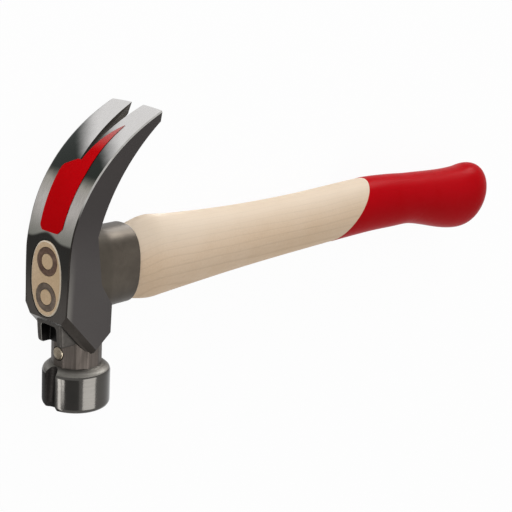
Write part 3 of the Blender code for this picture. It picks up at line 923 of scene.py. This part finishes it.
def neck_post():
    """Twelve sided neck with slightly broken edges."""
    radius = NECK_FLATS / 2 / math.cos(math.pi / NECK_SIDES)
    ring = []
    for k in range(NECK_SIDES):
        for turn, reach in NECK_CORNER:
            angle = (k + 0.5) * 2 * math.pi / NECK_SIDES + turn
            ring.append((radius * reach * math.cos(angle), radius * reach * math.sin(angle)))
    low = FACE_DROP - BELL_LENGTH - SHOULDER_RISE / 2
    rings = [[(x, -drop, z) for x, z in ring] for drop in (NECK_TOP, NECK_MIDDLE, low)]
    return loft("neck", raked(rings), [NECK_STEEL])


def bell():
    """Round poll end: slightly domed face with a broken edge, straight side, and a convex shoulder."""
    top = FACE_DROP - BELL_LENGTH
    root = NECK_FLATS / 2
    lip = BELL_RADIUS - BELL_EDGE
    profile = [
        (3.0, FACE_DROP, 0),
        (9.0, FACE_DROP - 0.05, 0),
        (FACE_RADIUS - 0.6, FACE_DROP - 0.14, 0),
        (FACE_RADIUS, FACE_DROP - 0.28, 0),
        (FACE_RADIUS + 0.5, FACE_DROP - 0.62, 0),
        (BELL_RADIUS - 0.24, FACE_DROP - 1.2, 0),
        (BELL_RADIUS - 0.06, FACE_DROP - 1.8, 0),
        (BELL_RADIUS, FACE_DROP - 2.5, 0),
        (BELL_RADIUS, FACE_DROP - 6.0, 0),
        (BELL_RADIUS, top + 4.0, 0),
        (BELL_RADIUS, top + 1.3, 0),
        (BELL_RADIUS - 0.22, top + 0.6, 0),
        (lip, top, 1),
    ]
    for k in range(1, 8):
        share = k / 7
        rise = SHOULDER_RISE * (1 - (1 - share) ** SHOULDER_POWER)
        profile.append((lip - (lip - root) * share, top - rise, 1))
    profile.append((root - 0.6, top - SHOULDER_RISE, 1))
    rings = [turned_down(radius, drop, BELL_STEPS) for radius, drop, mark in profile]
    marks = [mark for radius, drop, mark in profile]
    return loft("bell", raked(rings), [BELL_STEEL, SHOULDER_STEEL], marks)


def collar():
    """Squarish sleeve behind the eye, its rim rounded."""
    rings = []
    for x, taller, wider in COLLAR_STATIONS:
        rings.append(oval(x, COLLAR_LIFT, COLLAR_HEIGHT + taller, COLLAR_WIDTH + wider, power=COLLAR_POWER))
    for k in range(5):
        angle = math.pi / 2 * k / 4
        inset = 2 * COLLAR_EDGE * (1 - math.cos(angle))
        x = COLLAR_END - COLLAR_EDGE * (1 - math.sin(angle))
        rings.append(oval(x, COLLAR_LIFT, COLLAR_HEIGHT - inset, COLLAR_WIDTH - inset, power=COLLAR_POWER))
    return loft("collar", rings, [COLLAR_STEEL])


def eye_size(x):
    """Height and width of the eye at x."""
    front, waist, rear = EYE_SIZES
    low, high = (front, waist) if x < waist[0] else (waist, rear)
    t = (x - low[0]) / (high[0] - low[0])
    return [low[n] + (high[n] - low[n]) * t for n in (1, 2)]


def eye_hole():
    """Hole through the head and collar, narrowest near the middle."""
    mouth = eye_size(-EYE_FRONT)
    rings = [oval(x, 0, *mouth, EYE_LEAN, EYE_SHIFT, EYE_POWER) for x in (-EYE_FRONT - 4, -EYE_FRONT)]
    rings += [oval(x, 0, *eye_size(x)) for x, height, width in EYE_SIZES[1:]]
    rings.append(oval(COLLAR_END + 4, 0, *eye_size(COLLAR_END)))
    return loft("eye_hole", rings, [SLOT_STEEL])


def claw_slot():
    """Tapering cut along the chord from its root to the tip, round at the root and wider at the back."""
    way = Vector(SLOT_WAY).normalized()
    square = Vector((-way.y, way.x))
    start = tip_out - (SLOT_LENGTH + TIP_MORE) * way
    far = SLOT_LENGTH + 10
    flare = (SLOT_WIDTH - SLOT_ROOT) / 2 / SLOT_LENGTH
    rings = []
    for lift, grow in ((-30, SLOT_BEVEL), (-SLOT_DEPTH, SLOT_BEVEL), (0, 0), (30, 0)):
        root = SLOT_ROOT / 2 + grow
        outline = [(far, root + flare * far)]
        for k in range(9):
            angle = math.pi / 2 + math.pi * k / 8
            outline.append((root * math.cos(angle), root * math.sin(angle)))
        outline.append((far, -root - flare * far))
        ring = []
        for along, across in outline:
            flat = start + way * along + square * lift
            ring.append((flat.x, flat.y, across))
        rings.append(ring)
    return loft("claw_slot", rings, [SLOT_STEEL])


def break_edge(head, one, two, low, size, finish):
    """Small bevel along the edges where two finishes meet above a height."""
    kinds = [kind.name for kind in head.data.materials]
    if finish.name not in kinds:
        head.data.materials.append(finish)
        kinds.append(finish.name)
    meeting = {kinds.index(one.name), kinds.index(two.name)}
    skin = bmesh.new()
    skin.from_mesh(head.data)
    rim = []
    for edge in skin.edges:
        high = min(vert.co.y for vert in edge.verts) > up_head(low)
        if high and {face.material_index for face in edge.link_faces} == meeting:
            rim.append(edge)
    bmesh.ops.bevel(
        skin,
        geom=rim,
        offset=size * MM,
        offset_type="OFFSET",
        segments=1,
        profile=0.5,
        affect="EDGES",
        clamp_overlap=True,
        material=kinds.index(finish.name),
    )
    skin.to_mesh(head.data)
    skin.free()


def weld(obj):
    """Joins points that all but touch, so that no sliver is left."""
    skin = bmesh.new()
    skin.from_mesh(obj.data)
    bmesh.ops.remove_doubles(skin, verts=skin.verts, dist=WELD * MM)
    bmesh.ops.triangulate(skin, faces=[face for face in skin.faces if len(face.verts) > 4])
    bmesh.ops.dissolve_degenerate(skin, edges=skin.edges, dist=WELD * MM)
    skin.to_mesh(obj.data)
    skin.free()


def nail_pocket():
    """Pocket that holds the nail's head, open to the front and below."""
    low = FORK_DROP + 6
    middle = -(POCKET_TOP + low) / 2
    outline = soft_rectangle((low - POCKET_TOP) / 2, POCKET_WIDTH / 2, 1.6)
    rings = []
    for x, size in POCKET_RINGS:
        rings.append([(x, middle + y * size, z * size) for y, z in outline])
    return loft("nail_pocket", rings, [SHADED_POCKET_STEEL])


def bell_groove():
    """Nail groove down the front of the bell, deepest at the shoulder and flared at the face."""
    front = BELL_RADIUS + GROOVE_RADIUS - GROOVE_DEPTH
    top = FACE_DROP - BELL_LENGTH - SHOULDER_RISE - 1
    rings = []
    for drop, radius, sink in (
        (top, GROOVE_RADIUS, GROOVE_SINK),
        (FACE_DROP - GROOVE_FLARE, GROOVE_RADIUS, 0.0),
        (FACE_DROP + 1, GROOVE_MOUTH, 0.0),
    ):
        ring = turned_down(radius, drop, 40)
        rings.append([(x - front + sink, y, z + GROOVE_SHIFT) for x, y, z in ring])
    return loft("bell_groove", raked(rings), [SHADED_GROOVE_STEEL])


def magnet_seat():
    """Round hole in the neck's front facet for the magnet."""
    back = -NECK_FLATS / 2 - MAGNET_PROUD + MAGNET_LENGTH + GAP
    rings = [turned_front(MAGNET_RADIUS + GAP, x, -MAGNET_DROP) for x in (-FORK_FRONT - 2, back)]
    return loft("magnet_seat", raked(rings), [SHADED_POCKET_STEEL])


def build_head():
    """The forging: claw and cheeks, joined with the rest of the head, then cut and its edges broken."""
    head = claw_and_cheeks()
    for addition in (fork_block(), neck_post(), bell(), collar()):
        combine(head, addition, "UNION")
    for cut in (eye_hole(), claw_slot(), nail_pocket(), bell_groove(), magnet_seat()):
        combine(head, cut, "DIFFERENCE")
    # Broken edges in pale steel: a painted highlight along the slot, and painted glints along the groove and
    # the pocket.
    break_edge(head, CLAW_POLISH, SLOT_STEEL, SLOT_LOW, SLOT_EDGE, EDGE_STEEL)
    break_edge(head, SHOULDER_STEEL, SHADED_GROOVE_STEEL, -FACE_DROP, LIP_EDGE, LIP_GLINT)
    break_edge(head, FORK_STEEL, SHADED_POCKET_STEEL, -FORK_DROP, LIP_EDGE, LIP_GLINT)
    weld(head)
    finish_piece(head, ["hammer_head"])


def build_magnet():
    """Disc with a rounded edge, just proud of the neck."""
    face = -NECK_FLATS / 2 - MAGNET_PROUD
    profile = [
        (1.2, 0.06),
        (MAGNET_RADIUS - 0.7, 0.0),
        (MAGNET_RADIUS - 0.35, 0.02),
        (MAGNET_RADIUS - 0.1, 0.14),
        (MAGNET_RADIUS, 0.4),
        (MAGNET_RADIUS, MAGNET_LENGTH),
    ]
    rings = [turned_front(radius, face + back, -MAGNET_DROP) for radius, back in profile]
    magnet = loft("nail_magnet_disc", raked(rings), [MAGNET_NICKEL])
    finish_piece(magnet, ["nail_magnet"])


# Handle

run = BUTT_REACH - COLLAR_END
# Place along the handle, depth, width and middle
STATIONS = [
    (HANDLE_START + SWELL_RUN, *SWELL_FULL, 0.1),
    (COLLAR_END + run * 0.12, 36.3, 27.4, -0.3),
    (COLLAR_END + run * 0.26, 32.1, 25.2, -0.5),
    (COLLAR_END + run * 0.41, 30.4, 23.2, -0.3),
    (COLLAR_END + run * 0.61, 30.6, 23.2, 0.6),
    (COLLAR_END + run * 0.69, 29.83, 23.8, -0.3),
    (COLLAR_END + run * 0.755, 29.0, 24.4, -1.55),
    (COLLAR_END + run * 0.912, 36.7, 27.6, -7.4),
    (BUTT_REACH, 37.9, 27.6, -4.0),
]


def handle_size(x):
    """Depth, width and middle of the handle at x, smooth through the stations."""
    k = 0
    while k < len(STATIONS) - 2 and x > STATIONS[k + 1][0]:
        k += 1
    here = STATIONS[k]
    there = STATIONS[k + 1]
    prior = STATIONS[max(k - 1, 0)]
    later = STATIONS[min(k + 2, len(STATIONS) - 1)]
    span = there[0] - here[0]
    t = (x - here[0]) / span
    found = []
    for n in (1, 2, 3):
        slope_in = (there[n] - prior[n]) / (there[0] - prior[0]) * span
        slope_out = (later[n] - here[n]) / (later[0] - here[0]) * span
        rising = (2 * t**3 - 3 * t * t + 1) * here[n] + (t**3 - 2 * t * t + t) * slope_in
        falling = (3 * t * t - 2 * t**3) * there[n] + (t**3 - t * t) * slope_out
        found.append(rising + falling)
    return found


def skin_point(x, angle, grow, fade=1.0):
    """Point on the handle's skin at x, moved out by grow and drawn in to its middle by fade."""
    depth, width, middle = handle_size(x)
    y = middle + (depth / 2 + grow) * fade * math.cos(angle)
    return (x, y, (width / 2 + grow) * fade * math.sin(angle))


def dip_line(angle):
    """Where the slanting dip line crosses the handle's skin at an angle."""
    x = DIP_START
    for step in range(12):
        x = DIP_START + DIP_SLANT * skin_point(x, angle, 0.0)[1]
    return x


DIP_EDGE = [dip_line(angle) for angle in ANGLES]
ROUND_START = BUTT_REACH - BUTT_ROUND


def dip_ring(back, grow):
    """Ring along the dip line, moved back towards the butt."""
    return [skin_point(x + back, angle, grow) for x, angle in zip(DIP_EDGE, ANGLES)]


def grip_rings(back, grow):
    """Rings from the dip line to the rounded butt."""
    rings = []
    for k in range(GRIP_RINGS):
        share = k / GRIP_RINGS
        ring = []
        for x, angle in zip(DIP_EDGE, ANGLES):
            start = x + back
            ring.append(skin_point(start + (ROUND_START - start) * share, angle, grow))
        rings.append(ring)
    for k in range(BUTT_RINGS):
        q = math.sin(k / (BUTT_RINGS - 1) * math.pi / 2 * BUTT_CLOSE)
        fade = (1 - q**BUTT_POWER) ** (1 / BUTT_POWER)
        x = ROUND_START + (BUTT_ROUND + grow) * q
        middle = handle_size(min(x, BUTT_REACH))[2]
        ring = []
        for angle in ANGLES:
            y, z = skin_point(min(x, BUTT_REACH), angle, grow, fade)[1:]
            ring.append((x + BUTT_LEAN * q * q * (y - middle), y, z))
        rings.append(ring)
    return rings


def swell_rings():
    """Cone of wood that swells out from inside the collar's rim, eased at its crest."""
    slope = 2 / (1 + SWELL_EASE)
    rings = [oval(HANDLE_START, 0, SWELL_START[0] - 0.5, SWELL_START[1] - 0.5)]
    for t in SWELL_STEPS:
        share = slope * t
        if t > SWELL_EASE:
            share = 1 - slope * (1 - t) ** 2 / (2 * (1 - SWELL_EASE))
        depth, width = [low + (high - low) * share for low, high in zip(SWELL_START, SWELL_FULL)]
        rings.append(oval(HANDLE_START + SWELL_RUN * t, 0.1 * share, depth, width))
    return rings


def tenon_rings():
    """Wood in the eye, its front edge rubbed off to a narrow pale rim."""
    height, width = eye_size(-EYE_FRONT)
    rings = []
    for back, inset in ((0.0, 2.0), (0.0, 1.8), (0.3, 2 * GAP)):
        size = (height - inset, width - inset)
        rings.append(oval(-EYE_FRONT + back, 0, *size, EYE_LEAN, EYE_SHIFT, EYE_POWER))
    for x, height, width in EYE_SIZES[1:]:
        rings.append(oval(x, 0, height - 2 * GAP, width - 2 * GAP))
    rings.append(oval(HANDLE_START, 0, EYE_SIZES[2][1] - 2 * GAP, EYE_SIZES[2][2] - 2 * GAP))
    return rings


def build_handle():
    """One length of wood: tenon, swelled shoulder, bare side, and the core under the dipped grip."""
    tenon = tenon_rings()
    shoulder = swell_rings()
    first = HANDLE_START + SWELL_RUN
    side = []
    for k in range(SIDE_RINGS):
        share = k / SIDE_RINGS
        ends = zip(DIP_EDGE, ANGLES)
        side.append([skin_point(first + (x - first) * share, angle, 0.0) for x, angle in ends])
    side.append(dip_ring(0.0, 0.0))
    core = grip_rings(0.05, -COAT_DEPTH - 0.1)
    rings = tenon + shoulder + side + core
    marks = [0, 2] + [0] * (len(tenon) - 3) + [1] * (len(rings) - len(tenon))
    handle = loft("hickory_handle", rings, [WOOD_END, WOOD_SIDE, WOOD_RIM], marks)
    for height in RING_HEIGHTS.values():
        combine(handle, ring_loop("ring_groove", height, RING_GROOVE, [WOOD_END]), "DIFFERENCE")
    finish_piece(handle, ["handle"], 40.0)


def ring_loop(name, height, gap, finishes):
    """Hollow wedge: a ring that thins with depth, its outer end rounded, grown by a gap on every side."""
    inside = RING_RADIUS - RING_WALL
    edge = inside + RING_WALL / 2
    profile = [
        (RING_RADIUS + gap, RING_ROUND),
        (edge + RING_TIP + gap, RING_DEPTH + gap),
        (edge - RING_TIP - gap, RING_DEPTH + gap),
        (inside - gap, RING_ROUND),
    ]
    if gap:
        profile += [(inside - gap, -3.0), (RING_RADIUS + gap, -3.0)]
    else:
        profile += [(inside + 0.10, 0.0), (inside + RING_ROUND, -RING_PROUD)]
        profile += [(RING_RADIUS - RING_ROUND, -RING_PROUD), (RING_RADIUS - 0.10, 0.0)]
    rings = [turned_front(radius, -EYE_FRONT + depth, height, RING_SHIFT) for radius, depth in profile]
    return loft(name, rings, finishes, None, True)


def build_rings():
    """The two wedges, each with a finish of its own."""
    for node, height in RING_HEIGHTS.items():
        ring = ring_loop(node + "_ring", height, 0.0, [RING_FINISHES[node]])
        finish_piece(ring, [node], 35.0)


def build_coat():
    """Dipped coat: a skin just proud of the wood, with a rounded lip along the dip line."""
    inner = grip_rings(0.1, -COAT_DEPTH)
    lip = [dip_ring(0.1, -0.05), dip_ring(0.16, COAT_FILM * 0.6), dip_ring(0.35, COAT_FILM * 0.95)]
    outer = grip_rings(0.7, COAT_FILM)
    coat = loft("grip_dip", inner[::-1] + lip + outer, [RED_DIP])
    finish_piece(coat, ["grip_coat"], 60.0)


# Label

def face_point(y, z, lift):
    """Point above the claw's outer face at a height and a place across it."""
    low = 0
    while low < CLAW_POINTS - 2 and outer_curve[low + 1].y < y:
        low += 1
    start = outer_curve[low]
    end = outer_curve[low + 1]
    t = (y - start.y) / (end.y - start.y)
    flat = start.lerp(end, t)
    way = (end - start).normalized()
    level = z / half_width(y, NEAR_TRIM if z > 0 else 0.0)
    crown = CLAW_CROWN * level * level * eased((low + t) / (CLAW_POINTS - 2) / 0.5)
    flat = flat + Vector((-way.y, way.x)) * (lift - crown)
    return Vector((flat.x, flat.y, z))


def label_points(corners):
    """Points of the label from heights, and places across given as shares of half its width."""
    return [Vector((height, LABEL_WIDTH / 2 * share)) for height, share in corners]


def label_edge(*corners):
    return bezier(*label_points(corners), 9)


def label_outline():
    """Label seen from the front: a panel with cut lower corners, and a tail that follows the near prong."""
    low, top, tail = LABEL_LOW, LABEL_TOP, LABEL_TAIL
    near = label_edge((low + 3.2, 1.0), (low + 13.0, 1.06), (top - 7.0, 1.09), (top, 1.08))
    tail_side = label_edge((top, 1.08), (top + 4.0, 1.04), (tail - 7.0, 0.95), (tail, 1.06))
    slot_side = label_edge((tail, 1.06), (tail - 4.2, 0.33), (tail - 9.5, 0.17), (top + 3.2, 0.10))
    far = label_edge((top - 2.6, -1.15), (top - 9.0, -1.11), (low + 12.0, -1.04), (low + 2.2, -1.0))
    head = label_points([(top + 3.2, -0.20), (top + 0.2, -1.04), (top - 0.9, -1.12)])
    foot = label_points([(low + 1.5, -0.96), (low + 0.3, -0.80), (low, -0.70)])
    foot += label_points([(low, 0.60), (low + 0.4, 0.70), (low + 2.4, 0.96)])
    return head + far + foot + near + tail_side[1:] + slot_side[1:]


def build_label():
    """Thin film with a narrow border, cut into a fine grid so that it follows the claw's curve."""
    film = bmesh.new()
    corners = [film.verts.new((0, point.x, point.y)) for point in label_outline()]
    sheet = film.faces.new(corners)
    rim = bmesh.ops.inset_region(film, faces=[sheet], thickness=LABEL_BORDER, use_even_offset=True)
    for face in rim["faces"]:
        face.material_index = 1
    for axis, low, high in ((1, LABEL_LOW, LABEL_TAIL), (2, -LABEL_WIDTH, LABEL_WIDTH)):
        place = low + LABEL_GRID
        while place < high:
            spot = [0, 0, 0]
            spot[axis] = place
            way = [0, 0, 0]
            way[axis] = 1
            everything = list(film.verts) + list(film.edges) + list(film.faces)
            bmesh.ops.bisect_plane(film, geom=everything, plane_co=spot, plane_no=way)
            place += LABEL_GRID
    bmesh.ops.remove_doubles(film, verts=film.verts, dist=0.08)
    bmesh.ops.triangulate(film, faces=film.faces)
    bmesh.ops.dissolve_degenerate(film, edges=film.edges, dist=0.01)
    made = bmesh.ops.extrude_face_region(film, geom=list(film.faces))
    top = {item for item in made["geom"] if isinstance(item, bmesh.types.BMVert)}
    for vert in film.verts:
        lift = LABEL_LIFT + (LABEL_THICK if vert in top else 0.0)
        vert.co = CROSSING + MM * face_point(vert.co.y, vert.co.z, lift)
    bmesh.ops.recalc_face_normals(film, faces=film.faces)
    mesh = bpy.data.meshes.new("claw_film")
    film.to_mesh(mesh)
    film.free()
    for finish in (RED_FILM, FILM_BORDER):
        mesh.materials.append(finish)
    label = stand("claw_film", mesh)
    finish_piece(label, ["claw_label"], 40.0)


build_head()
build_magnet()
build_handle()
build_rings()
build_coat()
build_label()


# Camera, floor and light

CAMERA_LENS = 103.564
CAMERA_PLACE = (-0.43088, 0.194135, 0.453453)
CAMERA_RIGHT = (0.65071, 0.076404, 0.755472)
CAMERA_UP = (0.164564, 0.957088, -0.238538)
CAMERA_AHEAD = (0.741279, -0.279543, -0.610214)
FLOOR_HALF = 3.0
FLOOR_GLOW = 0.96
FLOOR_PAINT = 0.95
ROOM_LEVEL = 0.58
ALONG = (1, 0, 0)
ACROSS = (0, 1, 0)
UP = (0, 0, 1)
DOWN = (0, 0, -1)


def build_camera():
    """Camera at the photograph's viewing angle."""
    lens = bpy.data.cameras.new("photo_camera")
    lens.lens = CAMERA_LENS
    lens.sensor_width = 36.0
    lens.clip_end = 20.0
    turn = Matrix((CAMERA_RIGHT, CAMERA_UP, -Vector(CAMERA_AHEAD))).transposed().to_4x4()
    camera = stand("photo_camera", lens)
    camera.matrix_world = Matrix.Translation(CROSSING + Vector(CAMERA_PLACE)) @ turn
    scene.camera = camera


def seen_directly(tree):
    """1 for rays from the camera, off gloss and through glass, 0 for the rest."""
    path = add(tree, "ShaderNodeLightPath")
    either = maths(tree, "MAXIMUM", path.outputs["Is Camera Ray"], path.outputs["Is Glossy Ray"])
    return maths(tree, "MAXIMUM", either, path.outputs["Is Transmission Ray"])


def bare_paint(name):
    """Material with an output and no shader yet."""
    paint = bpy.data.materials.new(name)
    paint.use_nodes = True
    paint.node_tree.nodes.clear()
    surface = add(paint.node_tree, "ShaderNodeOutputMaterial").inputs["Surface"]
    return paint, paint.node_tree, surface


def flat_sheet(name, corners, paint):
    mesh = bpy.data.meshes.new(name)
    mesh.from_pydata(corners, [], [(0, 1, 2, 3)])
    mesh.materials.append(paint)
    return stand(name, mesh)


def build_floor():
    """Pale floor that glows white to the eye and keeps a soft shadow."""
    paint, tree, surface = bare_paint("pale_floor")
    matt = add(tree, "ShaderNodeBsdfDiffuse")
    feed(tree, matt.inputs["Color"], (FLOOR_PAINT, FLOOR_PAINT, FLOOR_PAINT))
    glow = add(tree, "ShaderNodeEmission")
    mixed = add(tree, "ShaderNodeMixShader")
    feed(tree, mixed.inputs[0], times(tree, seen_directly(tree), FLOOR_GLOW))
    feed(tree, mixed.inputs[1], matt.outputs[0])
    feed(tree, mixed.inputs[2], glow.outputs[0])
    feed(tree, surface, mixed.outputs[0])
    half = FLOOR_HALF
    corners = [(-half, -half, 0), (half, -half, 0), (half, half, 0), (-half, half, 0)]
    floor = flat_sheet("floor", corners, paint)


def build_world(level):
    """White room: full white to the eye and in reflections, a plain level as light."""
    world = bpy.data.worlds.new("white_room")
    scene.world = world
    world.use_nodes = True
    tree = world.node_tree
    sky = tree.nodes["Background"]
    feed(tree, sky.inputs["Color"], (1.0, 1.0, 1.0))
    feed(tree, sky.inputs["Strength"], spread(tree, seen_directly(tree), 0.0, 1.0, level, 1.0))


def squared(front, across):
    """A direction, and two more at right angles to it, the first of them the nearest to across."""
    front = Vector(front).normalized()
    side = Vector(across)
    side = (side - front * side.dot(front)).normalized()
    return front, side, front.cross(side)


def soft_lamp(name, place, shines, across, wide, long, level, lights=False, mirrors=True):
    """Soft panel at a place from the crossing, its level the brightness that a mirror would show."""
    lamp = bpy.data.lights.new(name, "AREA")
    lamp.shape = "RECTANGLE"
    lamp.size = wide
    lamp.size_y = long
    lamp.energy = level * math.pi * wide * long
    back, side, rise = squared(-Vector(shines), across)
    turn = Matrix((side, rise, back)).transposed().to_4x4()
    panel = stand(name, lamp)
    panel.matrix_world = Matrix.Translation(CROSSING + Vector(place)) @ turn
    panel.visible_camera = False
    panel.visible_diffuse = lights
    panel.visible_glossy = mirrors


def dark_card(name, place, faces, across, wide, long, level):
    """Dark card that only shows in the polish, as the dim side of a studio does; the one on the floor beside
    the bell is a painted shadow.
    """
    paint, tree, surface = bare_paint(name)
    dim = add(tree, "ShaderNodeEmission")
    feed(tree, dim.inputs["Strength"], level)
    feed(tree, surface, dim.outputs[0])
    front, side, rise = squared(faces, across)
    side *= wide / 2
    rise *= long / 2
    middle = CROSSING + Vector(place)
    corners = [middle - side - rise, middle + side - rise, middle + side + rise, middle - side + rise]
    card = flat_sheet(name, corners, paint)
    card.visible_camera = False
    card.visible_diffuse = False
    card.visible_shadow = False


build_camera()
build_floor()
build_world(ROOM_LEVEL)

# Panels and cards: place in metres, way it faces, way of its width, width, length and level
soft_lamp("overhead_panel", (0.06, -0.15, 0.8), DOWN, ALONG, 0.66, 0.9, 4.5)
soft_lamp("low_card", (-0.19, -0.1225, -0.0158), UP, ALONG, 0.21, 0.135, 6.8)
soft_lamp("low_panel", (-0.45, -0.175, 0.03), (0.93, 0.28, -0.05), (0.28, -0.93, 0), 0.16, 0.075, 5.5)
soft_lamp("rear_panel", (0.74, 0.66, 0.13), (-0.74, -0.66, -0.13), (0.66, -0.74, 0), 0.5, 0.28, 14.5)
soft_lamp("rear_card", (0.123, 0.112, -0.0158), UP, (0.737, 0.675, 0), 0.21, 0.06, 6.2)
soft_lamp("top_panel", (0.1, 1.2, 0.25), (0, -0.98, -0.2), ALONG, 1.2, 0.6, 3.6, True, False)
dark_card("front_card", (-0.56, -0.25, 0.366), (0.80, 0.28, -0.52), ACROSS, 0.5, 0.61, 0.4)
# Painted shadow: a dim card on the floor beside the bell, seen only in the polish.
dark_card("floor_shadow_card", (-0.031, -0.0815, -0.0160), UP, ALONG, 0.054, 0.067, 0.2)
